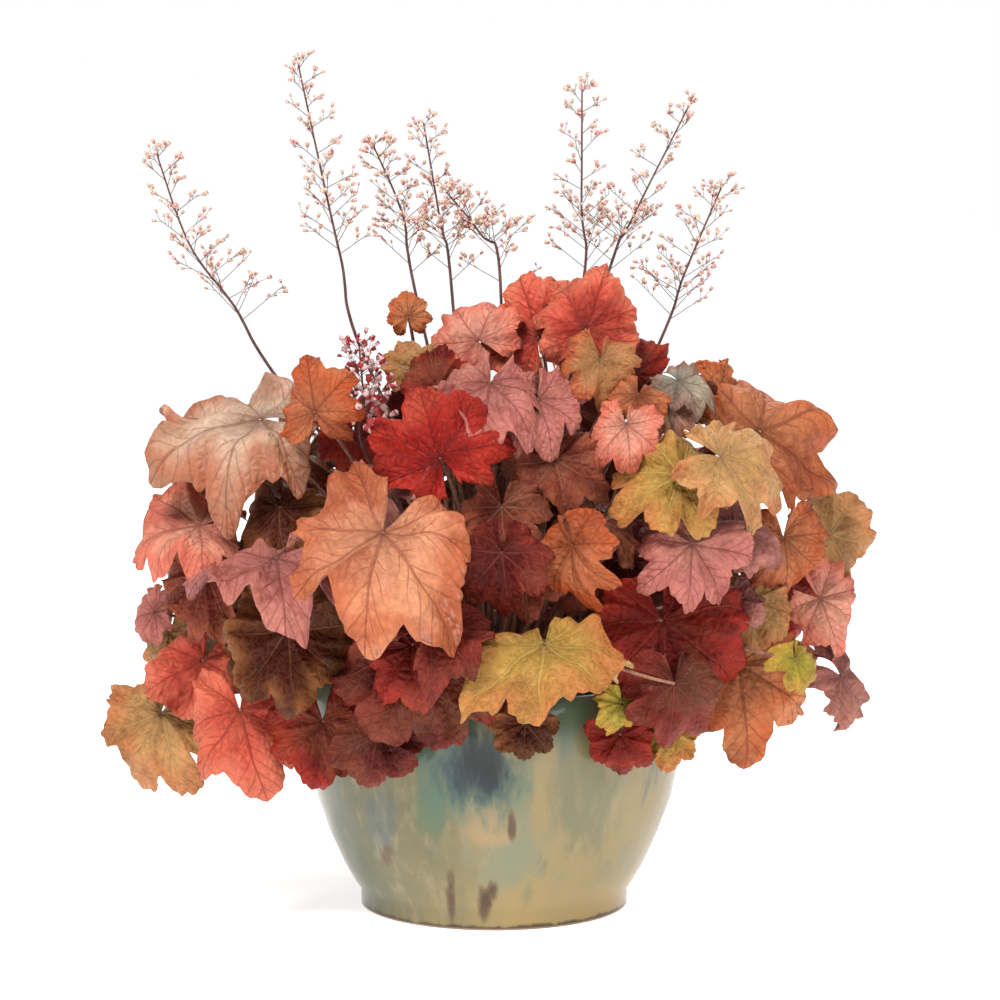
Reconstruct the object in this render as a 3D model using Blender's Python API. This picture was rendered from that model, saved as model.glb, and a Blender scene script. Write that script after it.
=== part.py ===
"""A potted heuchera: a glazed ceramic bowl, potting mix, a woody crown, its leaves and its flower stalks.

Metres, +Z up, +X to the viewer's right and the viewer towards -Y. The origin is the middle of the
pot's base. The tables hold millimetres, and their places are the ones that a viewer in front sees in
the upright plane through the pot's axis.
"""

import math
from typing import NamedTuple

import bmesh
import bpy
from mathutils import Matrix, Vector, geometry
from mathutils.bvhtree import BVHTree

MM = 0.001
UP = Vector((0, 0, 1))

# Where the viewer's eye is: this far in front of the pot's axis and this high above its base
EYE_DISTANCE = 2200
EYE_HEIGHT = 515
EYE = Vector((0, -EYE_DISTANCE, EYE_HEIGHT)) * MM

# Pot
POT_HEIGHT = 150
FOOT_RADIUS = 85
FOOT_BAND = 10
BELLY_RADIUS = 121
RIM_RADIUS = 116
WALL = 7.5
FLOOR_TOP = 12
POT_SEGMENTS = 36
LIP_STEPS = 3
DRAIN_RADIUS = 7
DRAIN_CIRCLE = 42
DRAINS = 3
DRAIN_SEGMENTS = 12
SWELL_END = 0.8
SWELL_POWER = 0.85
OUTER_HEIGHTS = (0, FOOT_BAND, 17, 28, 48, 70, 95, 120, 136, POT_HEIGHT - WALL / 2)
INNER_HEIGHTS = (POT_HEIGHT - WALL / 2, 120, 84, 48, 24)

# Potting mix and crown
SOIL_TOP = 128
SOIL_SEGMENTS = 24
SOIL_SIDES = (24, 48, 84, 120)
SOIL_EDGE_FALL = 3
SOIL_EDGE_INSET = 4
SOIL_FLAT_RADIUS = 60
SEAT_GAP = 0.3
CROWN_RADIUS = 48
CROWN_HEIGHT = 28
CROWN_SEGMENTS = 20
CROWN_RINGS = 5
GROWING_POINTS = 120
GROWING_SHARE = 0.88
UPRIGHT_PULL = 0.6
GOLDEN_ANGLE = math.radians(137.5)

# Leaves
BLADE_THICKNESS = 0.9
BLADE_REACH = 0.58
BASE_SHRINK = 0.36
SHRINK_POWER = 1.6
BASE_ANGLE = 166
LOBE_SPACING = 46
OUTLINE_ANGLES = (0, 13, 23, 34, 46, 69, 92, 115, 138, 152, BASE_ANGLE)
RING_SHARES = (0.55, 1)
WAVE = 0.14
WAVES = 3
LOBE_VARIETY = 0.07
VARIETY_STEP = 2.1
VARIETY_PHASE = 1.7
LOBE_SKEW = 5
SKEW_PHASE = 2.3
HUB_SHIFT = 0.14
LEAST_FACING = 0.35
REAR_TIP_OUT = 0.5
PETIOLE_RADIUS = 1.8
PETIOLE_TAPER = 0.35
PETIOLE_SIDES = 4
PETIOLE_STATIONS = 6
COLLAR = 3
ARRIVAL = Vector((0, 0.38, 0.8))
ARRIVAL_SHARE = 0.3

# How a leaf finds room: it bends its petiole, and then moves a little outwards or inwards
CLEARANCE = 1.5
PETIOLE_CLEARANCE = 1
PUSH_STEP = 3
MOST_PUSHES = 24
BOWS = (0, 0.12, -0.12, 0.24, -0.24, 0.36, -0.36, 0.5, -0.5)
RISES = (0.4, 0.6, 0.25)

# Flower stalks
SCAPE_RADIUS = 1.5
SCAPE_TIP_RADIUS = 0.8
SCAPE_SIDES = 4
SCAPE_STEPS = 3
SCAPE_RISE = 40
SCAPE_ROOT_SHARE = 0.5
BRANCH_RADIUS = 0.7
BRANCH_SIDES = 3
FIRST_BRANCH = 0.35
BRANCH_RISE = 0.55
BRANCH_SHORTENING = 0.6
BUD_RADIUS = 2.4
BUD_LENGTH = 6

# Finishes: a colour and a roughness
GLAZE_FINISH = ((0.42, 0.42, 0.30), 0.2)
SOIL_FINISH = ((0.05, 0.035, 0.025), 0.9)
CROWN_FINISH = ((0.12, 0.07, 0.04), 0.85)
STALK_FINISH = ((0.30, 0.14, 0.12), 0.5)
LEAF_ROUGHNESS = 0.45
SHARP_ANGLE = math.radians(50)


class Leaf(NamedTuple):
    """A leaf. across and up place the middle of its blade in the picture, and out is how far in front
    of it the blade stands. tip is the midrib's direction in the picture, 0 right and 90 up. turn and
    lift say where its face looks, in degrees to the viewer's right and above the horizon."""

    name: str
    tone: str
    across: float
    up: float
    out: float
    width: float
    tip: float
    turn: float
    lift: float
    cup: float = 0.1
    droop: float = 0.2
    lobing: float = 0.19


class Placed(NamedTuple):
    """A leaf that has found its place: where its hub is, its axes, and its petiole's route."""

    leaf: Leaf
    number: int
    hub: Vector
    axes: Matrix
    root: Vector
    facing: Vector
    rise: float
    bow: float


class RearLeaf(NamedTuple):
    """A leaf on the side that the viewer doesn't see, its tip outwards and down. around is its place
    round the plant, in degrees from the viewer's right towards the back."""

    name: str
    tone: str
    around: float
    radius: float
    height: float
    width: float
    lift: float


class Stalk(NamedTuple):
    """A flower stalk: the places in the picture that its scape passes, how far in front of it the
    scape stands, and how long its panicle is."""

    name: str
    places: tuple
    out: float
    panicle: float
    branches: int
    spread: float


LEAVES = (
    Leaf("leaf_top_coral", "coral", 25, 370, 30, 74, 105, -15, 22, 0.15, -0.1, 0.2),
    Leaf("leaf_top_red", "coral", 60, 375, 45, 70, 75, 10, 25, 0.15, -0.1, 0.2),
    Leaf("leaf_top_crimson", "crimson", 95, 340, 50, 55, 30, 30, 30),
    Leaf("leaf_top_salmon", "salmon", -15, 365, 35, 65, 130, -15, 35),
    Leaf("leaf_rose_pale", "rose", 30, 315, 90, 60, -70, 5, 45),
    Leaf("leaf_rose_middle", "rose", -5, 325, 70, 75, -110, -5, 55),
    Leaf("leaf_red_middle", "red", -38, 295, 110, 80, 110, -10, 22, 0.2, -0.1, 0.24),
    Leaf("leaf_mauve_left", "mauve", -75, 265, 130, 65, 150, -10, 50),
    Leaf("leaf_left_orange", "orange", -114, 322, 105, 55, 95, -28, 10),
    Leaf("leaf_left_tan", "tan", -163, 311, 70, 126, 172, -12, 68, 0.05, 0.15, 0.24),
    Leaf("leaf_left_red", "red", -190, 275, 20, 70, 190, -30, 15),
    Leaf("leaf_left_salmon", "salmon", -198, 240, 40, 80, 185, -15, 66),
    Leaf("leaf_left_brown", "brown", -135, 245, 65, 64, -85, -10, 38),
    Leaf("leaf_peach_front", "peach", -76, 225, 160, 116, -115, -8, 54, 0.05, 0.25, 0.16),
    Leaf("leaf_rose_arch", "rose", -148, 216, 122, 96, 205, -10, 76, -0.05, 0),
    Leaf("leaf_cupped_brown", "brown", -130, 162, 125, 90, -85, -8, 12, 0.25),
    Leaf("leaf_left_olive", "olive", -210, 165, 10, 65, -115, -45, 12),
    Leaf("leaf_low_golden", "olive", -218, 111, 30, 82, -120, -20, 30, 0.1, 0.2, 0.2),
    Leaf("leaf_low_rose", "coral", -190, 145, 50, 75, -115, -20, 20),
    Leaf("leaf_low_coral", "coral", -160, 112, 105, 82, -80, -12, 30, 0.1, 0.2, 0.18),
    Leaf("leaf_low_crimson", "crimson", -110, 105, 105, 70, -95, -5, 6),
    Leaf("leaf_low_burgundy", "burgundy", -44, 142, 145, 105, -80, -3, 22, 0.1, 0.2, 0.2),
    Leaf("leaf_golden_front", "golden", 32, 157, 178, 100, -90, 3, 66, 0.05, 0.25, 0.15),
    Leaf("leaf_orange_edge", "orange", 50, 220, 145, 60, -90, -48, 12),
    Leaf("leaf_maroon_right", "burgundy", 85, 210, 120, 80, -50, 8, 20),
    Leaf("leaf_maroon_low", "crimson", 110, 165, 125, 105, -80, 10, 12),
    Leaf("leaf_right_rose", "rose", 125, 220, 140, 70, -95, 8, 28),
    Leaf("leaf_right_mauve", "mauve", 160, 235, 110, 60, -30, 18, 38),
    Leaf("leaf_right_edge", "olive", 220, 235, 20, 65, 0, 32, 20),
    Leaf("leaf_right_salmon", "salmon", 215, 190, 50, 65, -30, 28, 26),
    Leaf("leaf_low_orange", "orange", 158, 138, 118, 96, -80, 12, 26, 0.1, 0.25, 0.22),
    Leaf("leaf_low_rust", "burgundy", 115, 130, 120, 65, -90, 8, 8),
    Leaf("leaf_russet_middle", "russet", 40, 275, 95, 65, -80, 0, 26),
    Leaf("leaf_right_coral", "orange", 180, 306, 40, 110, 20, 20, 35, 0.1, 0.15, 0.3),
    Leaf("leaf_right_golden", "golden", 108, 268, 120, 75, 205, 0, 38, 0.05, 0.3, 0.2),
    Leaf("leaf_right_peach", "olive", 155, 283, 95, 78, -10, 12, 45, 0.05, 0.3, 0.22),
)

REAR_LEAVES = (
    RearLeaf("leaf_rear_top_left", "red", 122, 92, 312, 96, 45),
    RearLeaf("leaf_rear_top_right", "orange", 60, 96, 306, 100, 45),
    RearLeaf("leaf_rear_upper_middle", "rose", 92, 128, 286, 110, 42),
    RearLeaf("leaf_rear_upper_left", "tan", 152, 150, 268, 108, 40),
    RearLeaf("leaf_rear_upper_right", "peach", 28, 160, 262, 108, 40),
    RearLeaf("leaf_rear_middle_left", "coral", 120, 175, 228, 120, 32),
    RearLeaf("leaf_rear_middle_right", "burgundy", 66, 175, 224, 120, 32),
    RearLeaf("leaf_rear_low_left", "olive", 162, 185, 176, 112, 25),
    RearLeaf("leaf_rear_low_right", "russet", 20, 182, 172, 112, 25),
    RearLeaf("leaf_rear_skirt_left", "salmon", 128, 180, 150, 116, 20),
    RearLeaf("leaf_rear_skirt_middle", "golden", 92, 182, 146, 120, 20),
    RearLeaf("leaf_rear_skirt_right", "crimson", 56, 180, 150, 116, 20),
)

STALKS = (
    Stalk("stalk_far_left", ((-135, 333), (-163, 380), (-191, 419), (-211, 476)), -20, 120, 8, 32),
    Stalk("stalk_tall_left", ((-84, 354), (-95, 405), (-106, 455), (-122, 531)), -10, 125, 8, 28),
    Stalk("stalk_left_leaning", ((-50, 392), (-57, 437), (-76, 482)), -35, 95, 6, 26),
    Stalk("stalk_left_upright", ((-27, 396), (-33, 430), (-44, 495)), -15, 110, 6, 26),
    Stalk("stalk_middle_leaning", ((4, 396), (-7, 424), (-30, 452)), 0, 80, 6, 28),
    Stalk("stalk_right_upright", ((55, 389), (55, 440), (55, 516)), -30, 125, 8, 30),
    Stalk("stalk_right_leaning", ((72, 402), (84, 430), (121, 504)), -45, 120, 8, 32),
    Stalk("stalk_far_right", ((104, 357), (119, 399), (143, 456)), -15, 95, 8, 34),
    Stalk("stalk_low_budded", ((-80, 285), (-82, 320), (-85, 356)), 80, 75, 6, 24),
)

TONES = {
    "coral": (0.62, 0.10, 0.06),
    "red": (0.55, 0.04, 0.03),
    "crimson": (0.25, 0.03, 0.03),
    "burgundy": (0.16, 0.03, 0.04),
    "rose": (0.40, 0.14, 0.14),
    "mauve": (0.30, 0.12, 0.14),
    "salmon": (0.62, 0.22, 0.14),
    "peach": (0.60, 0.24, 0.10),
    "orange": (0.55, 0.18, 0.06),
    "tan": (0.42, 0.24, 0.12),
    "brown": (0.26, 0.12, 0.06),
    "russet": (0.28, 0.06, 0.04),
    "olive": (0.24, 0.20, 0.06),
    "golden": (0.52, 0.38, 0.10),
}


def clear_scene():
    for thing in list(bpy.data.objects):
        bpy.data.objects.remove(thing, do_unlink=True)


def material(name, colour, roughness):
    made = bpy.data.materials.new(name)
    made.use_nodes = True
    shader = made.node_tree.nodes["Principled BSDF"]
    shader.inputs["Base Color"].default_value = (*colour, 1)
    shader.inputs["Roughness"].default_value = roughness
    shader.inputs["Metallic"].default_value = 0
    made.diffuse_color = (*colour, 1)
    return made


def mesh_object(name, shape, coat):
    """An object from a list of places and a list of faces, its faces pointing out."""
    places, faces = shape
    mesh = bpy.data.meshes.new(name)
    mesh.from_pydata(places, [], faces)
    bm = bmesh.new()
    bm.from_mesh(mesh)
    bmesh.ops.recalc_face_normals(bm, faces=bm.faces)
    bm.to_mesh(mesh)
    bm.free()
    mesh.materials.append(coat)
    mesh.shade_smooth()
    mesh.set_sharp_from_angle(angle=SHARP_ANGLE)
    made = bpy.data.objects.new(name, mesh)
    bpy.context.scene.collection.objects.link(made)
    return made


def combine(kept, other, operation, crossing=False):
    """Unite two objects, or cut the second out of the first, and keep only the result. crossing says
    that parts of one object may cross each other."""
    change = kept.modifiers.new("change", "BOOLEAN")
    change.operation = operation
    change.object = other
    change.use_self = crossing
    bpy.context.view_layer.update()
    seen = kept.evaluated_get(bpy.context.evaluated_depsgraph_get())
    result = bpy.data.meshes.new_from_object(seen)
    kept.modifiers.remove(change)
    kept.data = result
    bpy.data.objects.remove(other, do_unlink=True)


def join_shapes(*shapes):
    places = []
    faces = []
    for more_places, more_faces in shapes:
        start = len(places)
        places += more_places
        faces += [tuple(start + index for index in face) for face in more_faces]
    return places, faces


def turned(profile, segments):
    """A closed shape turned round Z. The profile runs from the axis to the axis, in millimetres."""
    places = [Vector((0, 0, profile[0][1])) * MM]
    for radius, height in profile[1:-1]:
        for step in range(segments):
            angle = math.tau * step / segments
            places.append(Vector((radius * math.cos(angle), radius * math.sin(angle), height)) * MM)
    places.append(Vector((0, 0, profile[-1][1])) * MM)
    rings = len(profile) - 2
    last = len(places) - 1
    faces = []
    for step in range(segments):
        following = (step + 1) % segments
        faces.append((0, 1 + step, 1 + following))
        for ring in range(rings - 1):
            start = 1 + ring * segments
            faces.append((start + step, start + segments + step, start + segments + following,
                          start + following))
        start = 1 + (rings - 1) * segments
        faces.append((last, start + following, start + step))
    return places, faces


def tube(path, radii, sides, facing):
    """A closed round tube along a path. facing is the way out of its first end."""
    side = facing.orthogonal().normalized()
    places = []
    faces = [tuple(range(sides))]
    for index, centre in enumerate(path):
        ahead = path[min(index + 1, len(path) - 1)] - path[max(index - 1, 0)]
        if index == 0:
            ahead = facing
        ahead = ahead.normalized()
        side = (side - ahead * side.dot(ahead)).normalized()
        other = ahead.cross(side)
        for step in range(sides):
            angle = math.tau * step / sides
            offset = side * math.cos(angle) + other * math.sin(angle)
            places.append(centre + offset * radii[index] * MM)
        if index:
            start = (index - 1) * sides
            for step in range(sides):
                following = (step + 1) % sides
                faces.append((start + step, start + following, start + sides + following,
                              start + sides + step))
    end = (len(path) - 1) * sides
    faces.append(tuple(end + step for step in reversed(range(sides))))
    return places, faces


def seen_at(across, up, out):
    """The place that the viewer sees at across and up, out millimetres nearer than the axis."""
    place = Vector((across, 0, up)) * MM
    return place + (EYE - place).normalized() * out * MM


def pot_outer(height):
    """The bowl's outer radius at a height: an upright foot, then a swelling side that draws in a little
    to its rim."""
    share = max(height - FOOT_BAND, 0) / (POT_HEIGHT - FOOT_BAND)
    swell = math.sin(math.pi / 2 * min(share / SWELL_END, 1)) ** SWELL_POWER
    draw_in = max(share - SWELL_END, 0) / (1 - SWELL_END)
    widest = FOOT_RADIUS + (BELLY_RADIUS - FOOT_RADIUS) * swell
    return widest - (BELLY_RADIUS - RIM_RADIUS) * draw_in ** 2


def pot_inner(height):
    return pot_outer(height) - WALL


def pot_profile():
    """The bowl's section from the middle of its base, up its side, over its lip and down inside."""
    outer = [(pot_outer(height), height) for height in OUTER_HEIGHTS]
    lip = []
    for step in range(1, LIP_STEPS + 1):
        angle = math.pi * step / (LIP_STEPS + 1)
        radius = RIM_RADIUS - WALL / 2 + WALL / 2 * math.cos(angle)
        lip.append((radius, POT_HEIGHT - WALL / 2 + WALL / 2 * math.sin(angle)))
    inner = [(pot_inner(height), height) for height in INNER_HEIGHTS]
    inner.append((pot_inner(FLOOR_TOP) - WALL, FLOOR_TOP))
    return [(0, 0), *outer, *lip, *inner, (0, FLOOR_TOP)]


def make_pot():
    """The bowl with its drain holes."""
    coat = material("pot_glaze", *GLAZE_FINISH)
    pot = mesh_object("pot", turned(pot_profile(), POT_SEGMENTS), coat)
    for number in range(DRAINS):
        angle = math.tau * number / DRAINS + math.pi / 2
        middle = Vector((math.cos(angle), math.sin(angle), 0)) * DRAIN_CIRCLE * MM
        path = [middle - UP * FLOOR_TOP * MM, middle + UP * 2 * FLOOR_TOP * MM]
        drain = mesh_object("drain", tube(path, (DRAIN_RADIUS, DRAIN_RADIUS), DRAIN_SEGMENTS, UP), coat)
        combine(pot, drain, "DIFFERENCE")
    return pot


def soil_shape():
    """Potting mix, domed a little, with a gap to the bowl that even its flat facets keep."""
    margin = SEAT_GAP + BELLY_RADIUS * (1 - math.cos(math.pi / POT_SEGMENTS))
    bottom = FLOOR_TOP + SEAT_GAP
    sides = [(pot_inner(height) - margin, height) for height in SOIL_SIDES]
    foot = (pot_inner(FLOOR_TOP) - WALL - 2 * margin, bottom)
    edge = (pot_inner(SOIL_TOP) - SOIL_EDGE_INSET, SOIL_TOP - SOIL_EDGE_FALL)
    flat = (SOIL_FLAT_RADIUS, SOIL_TOP)
    return turned([(0, bottom), foot, *sides, edge, flat, (0, SOIL_TOP)], SOIL_SEGMENTS)


def crown_shape():
    bottom = SOIL_TOP + SEAT_GAP
    profile = [(0, bottom)]
    for ring in range(CROWN_RINGS):
        angle = math.pi / 2 * ring / CROWN_RINGS
        profile.append((CROWN_RADIUS * math.cos(angle), bottom + CROWN_HEIGHT * math.sin(angle)))
    profile.append((0, bottom + CROWN_HEIGHT))
    return turned(profile, CROWN_SEGMENTS)


def tree_of(shape):
    return BVHTree.FromPolygons(*shape)


class Crown:
    """The crown's growing points, each used by one petiole or scape."""

    def __init__(self, shape):
        tree = tree_of(shape)
        self.free = []
        for number in range(GROWING_POINTS):
            radius = CROWN_RADIUS * GROWING_SHARE * math.sqrt((number + 0.5) / GROWING_POINTS)
            angle = number * GOLDEN_ANGLE
            above = Vector((radius * math.cos(angle), radius * math.sin(angle), 2 * SOIL_TOP)) * MM
            place, normal, _, _ = tree.ray_cast(above, -UP)
            if normal.z < 0:
                normal = -normal
            self.free.append((place + normal * SEAT_GAP * MM, normal))

    def take(self, target):
        """The free growing point that best suits a hub or a scape on its way to the target."""
        reach = Vector((target.x, target.y))
        above = target.z - (SOIL_TOP + CROWN_HEIGHT / 2) * MM
        share = reach.length / (reach.length + max(above, 0) * UPRIGHT_PULL)
        wanted = reach.normalized() * share * CROWN_RADIUS * MM
        best = min(self.free, key=lambda point: (Vector(point[0][:2]) - wanted).length)
        self.free.remove(best)
        return best


def blade_place(leaf, number, theta, share, margin):
    """A place on a blade, from its hub: theta degrees from the midrib, share of the way to its edge."""
    reach = leaf.width * BLADE_REACH
    notch = 1 - abs(math.cos(math.pi * theta / LOBE_SPACING))
    outline = (1 - BASE_SHRINK * (abs(theta) / BASE_ANGLE) ** SHRINK_POWER) * (1 - leaf.lobing * notch)
    outline *= 1 + LOBE_VARIETY * math.sin(VARIETY_STEP * theta / LOBE_SPACING + VARIETY_PHASE * number)
    radius = (reach * outline + margin) * share
    angle = math.radians(theta + LOBE_SKEW * math.sin(math.radians(theta) + SKEW_PHASE * number))
    x = radius * math.sin(angle)
    y = radius * math.cos(angle)
    z = leaf.cup * radius ** 2 / reach - leaf.droop * max(y, 0) ** 2 / reach
    z += WAVE * reach * share ** 2 * math.sin(WAVES * angle + number)
    return Vector((x, y, z)) * MM


def blade_shape(placed, margin):
    """A closed thin blade, made larger all round by the margin."""
    angles = [-theta for theta in reversed(OUTLINE_ANGLES[1:])] + list(OUTLINE_ANGLES)
    half = (BLADE_THICKNESS / 2 + margin) * MM
    places = []
    for side in (half, -half):
        lift = Vector((0, 0, side))
        places.append(placed.hub + placed.axes @ lift)
        for share in RING_SHARES:
            for theta in angles:
                place = blade_place(placed.leaf, placed.number, theta, share, margin) + lift
                places.append(placed.hub + placed.axes @ place)
    count = len(angles)
    layer = 1 + count * len(RING_SHARES)
    faces = []
    for start in (0, layer):
        for step in range(count - 1):
            inner = start + 1 + step
            outer = inner + count
            faces.append((start, inner, inner + 1))
            faces.append((inner, outer, inner + 1))
            faces.append((inner + 1, outer, outer + 1))
    edge = [0, 1, *range(1 + count, 1 + 2 * count), count]
    for here, there in zip(edge, edge[1:] + edge[:1]):
        faces.append((here, there, there + layer))
        faces.append((here, there + layer, here + layer))
    return places, faces


def petiole_path(placed, stations):
    """The way of a petiole that leaves the crown square to it and meets the blade from beneath."""
    start = placed.root + placed.facing * COLLAR * MM
    length = (placed.hub - start).length
    arrival = (placed.axes @ ARRIVAL).normalized()
    sideways = (placed.hub - start).cross(UP).normalized() * placed.bow * length
    path = geometry.interpolate_bezier(
        start,
        start + placed.facing * length * placed.rise + sideways,
        placed.hub - arrival * length * ARRIVAL_SHARE + sideways,
        placed.hub,
        stations,
    )
    return [placed.root, *path]


def petiole_shape(placed, margin):
    path = petiole_path(placed, PETIOLE_STATIONS)
    radii = [PETIOLE_RADIUS * (1 - PETIOLE_TAPER * index / len(path)) + margin for index in range(len(path))]
    if margin:
        path = path[1:]
        radii = radii[1:]
    return tube(path, radii, PETIOLE_SIDES, placed.facing)


def axes_from(normal, tip):
    """Axes with Z along the normal and Y as near to the tip's direction as a flat blade allows."""
    along = (tip - normal * tip.dot(normal)).normalized()
    return Matrix((along.cross(normal), along, normal)).transposed()


def front_pose(leaf):
    """The middle of a seen leaf's blade, its axes, and the way in which it moves to find room."""
    turn = math.radians(leaf.turn)
    lift = math.radians(leaf.lift)
    tip = math.radians(leaf.tip)
    normal = Vector((math.sin(turn) * math.cos(lift), -math.cos(turn) * math.cos(lift), math.sin(lift)))
    middle = seen_at(leaf.across, leaf.up, leaf.out)
    look = (EYE - middle).normalized()
    picture = Vector((math.cos(tip), 0, math.sin(tip)))
    along = picture - look * picture.dot(normal) / max(look.dot(normal), LEAST_FACING)
    return middle, axes_from(normal, along), look


def rear_pose(leaf):
    around = math.radians(leaf.around)
    lift = math.radians(leaf.lift)
    outwards = Vector((math.cos(around), math.sin(around), 0))
    normal = outwards * math.cos(lift) + UP * math.sin(lift)
    middle = (outwards * leaf.radius + UP * leaf.height) * MM
    return middle, axes_from(normal, outwards * REAR_TIP_OUT - UP), normal


def full_leaf(rear):
    return Leaf(rear.name, rear.tone, 0, 0, 0, rear.width, 0, 0, rear.lift)


def settle(leaf, number, pose, crown, blocked):
    """Bend a leaf's petiole, and move the leaf, until it is clear of everything already placed."""
    middle, axes, outwards = pose
    hub_offset = axes @ Vector((0, -HUB_SHIFT * leaf.width * MM, 0))
    root, facing = crown.take(middle)
    tree = tree_of(blocked)
    pushes = [0]
    for step in range(1, MOST_PUSHES):
        pushes += [step * PUSH_STEP, -step * PUSH_STEP]
    for push in pushes:
        hub = middle + outwards * push * MM + hub_offset
        placed = Placed(leaf, number, hub, axes, root, facing, 0, 0)
        if tree_of(blade_shape(placed, CLEARANCE)).overlap(tree):
            continue
        for rise in RISES:
            for bow in BOWS:
                placed = placed._replace(rise=rise, bow=bow)
                if not tree_of(petiole_shape(placed, PETIOLE_CLEARANCE)).overlap(tree):
                    return placed
    return None


def settle_all(crown, blocked):
    """Places for the leaves in the two tables, and everything that is placed by then."""
    poses = [(leaf, front_pose(leaf)) for leaf in LEAVES]
    poses += [(full_leaf(leaf), rear_pose(leaf)) for leaf in REAR_LEAVES]
    found = []
    for number, (leaf, pose) in enumerate(poses):
        placed = settle(leaf, number, pose, crown, blocked)
        if placed is None:
            raise ValueError(f"{leaf.name} finds no room")
        found.append(placed)
        blocked = join_shapes(blocked, blade_shape(placed, 0), petiole_shape(placed, 0))
    return found, blocked


def make_leaves(placed_leaves):
    coats = {tone: material("leaf_" + tone, colour, LEAF_ROUGHNESS) for tone, colour in TONES.items()}
    for placed in placed_leaves:
        coat = coats[placed.leaf.tone]
        made = mesh_object(placed.leaf.name, blade_shape(placed, 0), coat)
        combine(made, mesh_object("petiole", petiole_shape(placed, 0), coat), "UNION")


def smooth_route(points, steps):
    """A Catmull-Rom curve through the points, with a number of steps between each two."""
    padded = [points[0], *points, points[-1]]
    route = []
    for index in range(1, len(points)):
        before, start, end, after = padded[index - 1:index + 3]
        for step in range(steps):
            route.append(catmull(before, start, end, after, step / steps))
    route.append(points[-1])
    return route


def catmull(before, start, end, after, share):
    square = share * share
    cube = square * share
    return 0.5 * (2 * start + (end - before) * share
                  + (2 * before - 5 * start + 4 * end - after) * square
                  + (3 * start - before - 3 * end + after) * cube)


def stalk_route(stalk, crown):
    seen = [seen_at(across, up, stalk.out) for across, up in stalk.places]
    target = Vector((seen[0].x * SCAPE_ROOT_SHARE, seen[0].y * SCAPE_ROOT_SHARE, seen[0].z))
    root, facing = crown.take(target)
    collar = root + facing * COLLAR * MM
    route = smooth_route([collar, collar + facing * SCAPE_RISE * MM, *seen], SCAPE_STEPS)
    return [root, *route], facing


def panicle_shapes(stalk, route):
    """Side branches that spiral up the panicle, each a thin spindle that swells to a bud."""
    tip = route[-1]
    lower = [place for place in route if (place - tip).length < stalk.panicle * MM]
    shapes = []
    for number in range(stalk.branches):
        share = number / stalk.branches
        position = share * (len(lower) - 1)
        index = min(int(position), len(lower) - 2)
        centre = lower[index].lerp(lower[index + 1], position - index)
        angle = number * GOLDEN_ANGLE + FIRST_BRANCH
        outwards = Vector((math.cos(angle), math.sin(angle), BRANCH_RISE)).normalized()
        length = stalk.spread * (1 - BRANCH_SHORTENING * share)
        path = [centre + outwards * station * MM for station in (0, length - BUD_LENGTH / 2, length)]
        radii = (BRANCH_RADIUS, BUD_RADIUS, BRANCH_RADIUS)
        shapes.append(tube(path, radii, BRANCH_SIDES, outwards))
    return shapes


def scape_shape(route, facing):
    last = len(route) - 1
    radii = [SCAPE_RADIUS + (SCAPE_TIP_RADIUS - SCAPE_RADIUS) * index / last for index in range(last + 1)]
    return tube(route, radii, SCAPE_SIDES, facing)


def make_stalk(stalk, route, facing, coat):
    """One flower stalk, and its shapes, which later pieces keep clear of."""
    scape = scape_shape(route, facing)
    branches = join_shapes(*panicle_shapes(stalk, route))
    made = mesh_object(stalk.name, scape, coat)
    combine(made, mesh_object("branches", branches, coat), "UNION", crossing=True)
    return join_shapes(scape, branches)


def main():
    clear_scene()
    make_pot()
    mesh_object("soil", soil_shape(), material("soil", *SOIL_FINISH))
    mesh_object("crown", crown_shape(), material("crown", *CROWN_FINISH))
    crown = Crown(crown_shape())
    blocked = join_shapes(turned(pot_profile(), POT_SEGMENTS), soil_shape())
    stalk_coat = material("flower_stalk", *STALK_FINISH)
    for stalk in STALKS:
        blocked = join_shapes(blocked, make_stalk(stalk, *stalk_route(stalk, crown), stalk_coat))
    placed_leaves, _ = settle_all(crown, blocked)
    make_leaves(placed_leaves)


main()
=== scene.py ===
"""The looks of a potted heuchera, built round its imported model.

The scene is in metres, +Z up, with the viewer towards -Y. Sizes and places in the values and tables
below are millimetres unless they say otherwise. The tables and the rules that place leaves are the ones
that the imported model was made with, so that each fine piece lies where its plain solid lies.
"""

import math
import random
from typing import NamedTuple

import bpy
from mathutils import Matrix, Vector, geometry, noise
from mathutils.bvhtree import BVHTree


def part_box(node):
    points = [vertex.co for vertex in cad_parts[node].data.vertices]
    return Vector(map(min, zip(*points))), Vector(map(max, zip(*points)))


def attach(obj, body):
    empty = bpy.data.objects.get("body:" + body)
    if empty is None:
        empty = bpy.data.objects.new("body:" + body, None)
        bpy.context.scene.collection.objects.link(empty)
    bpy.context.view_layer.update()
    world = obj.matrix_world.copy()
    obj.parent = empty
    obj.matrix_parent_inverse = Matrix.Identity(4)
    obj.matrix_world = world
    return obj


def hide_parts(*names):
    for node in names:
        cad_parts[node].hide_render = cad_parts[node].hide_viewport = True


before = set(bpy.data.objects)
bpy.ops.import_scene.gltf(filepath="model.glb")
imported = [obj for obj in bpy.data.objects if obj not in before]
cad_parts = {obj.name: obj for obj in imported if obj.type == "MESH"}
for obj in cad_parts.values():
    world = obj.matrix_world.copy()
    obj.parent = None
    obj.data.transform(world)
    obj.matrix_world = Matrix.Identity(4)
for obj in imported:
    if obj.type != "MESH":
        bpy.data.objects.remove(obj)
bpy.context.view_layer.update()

MM = 0.001
UP = Vector((0, 0, 1))

# Where the viewer's eye is: this far in front of the pot's axis and this high above its base
EYE_DISTANCE = 2200
EYE_HEIGHT = 515
EYE = Vector((0, -EYE_DISTANCE, EYE_HEIGHT)) * MM

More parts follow.
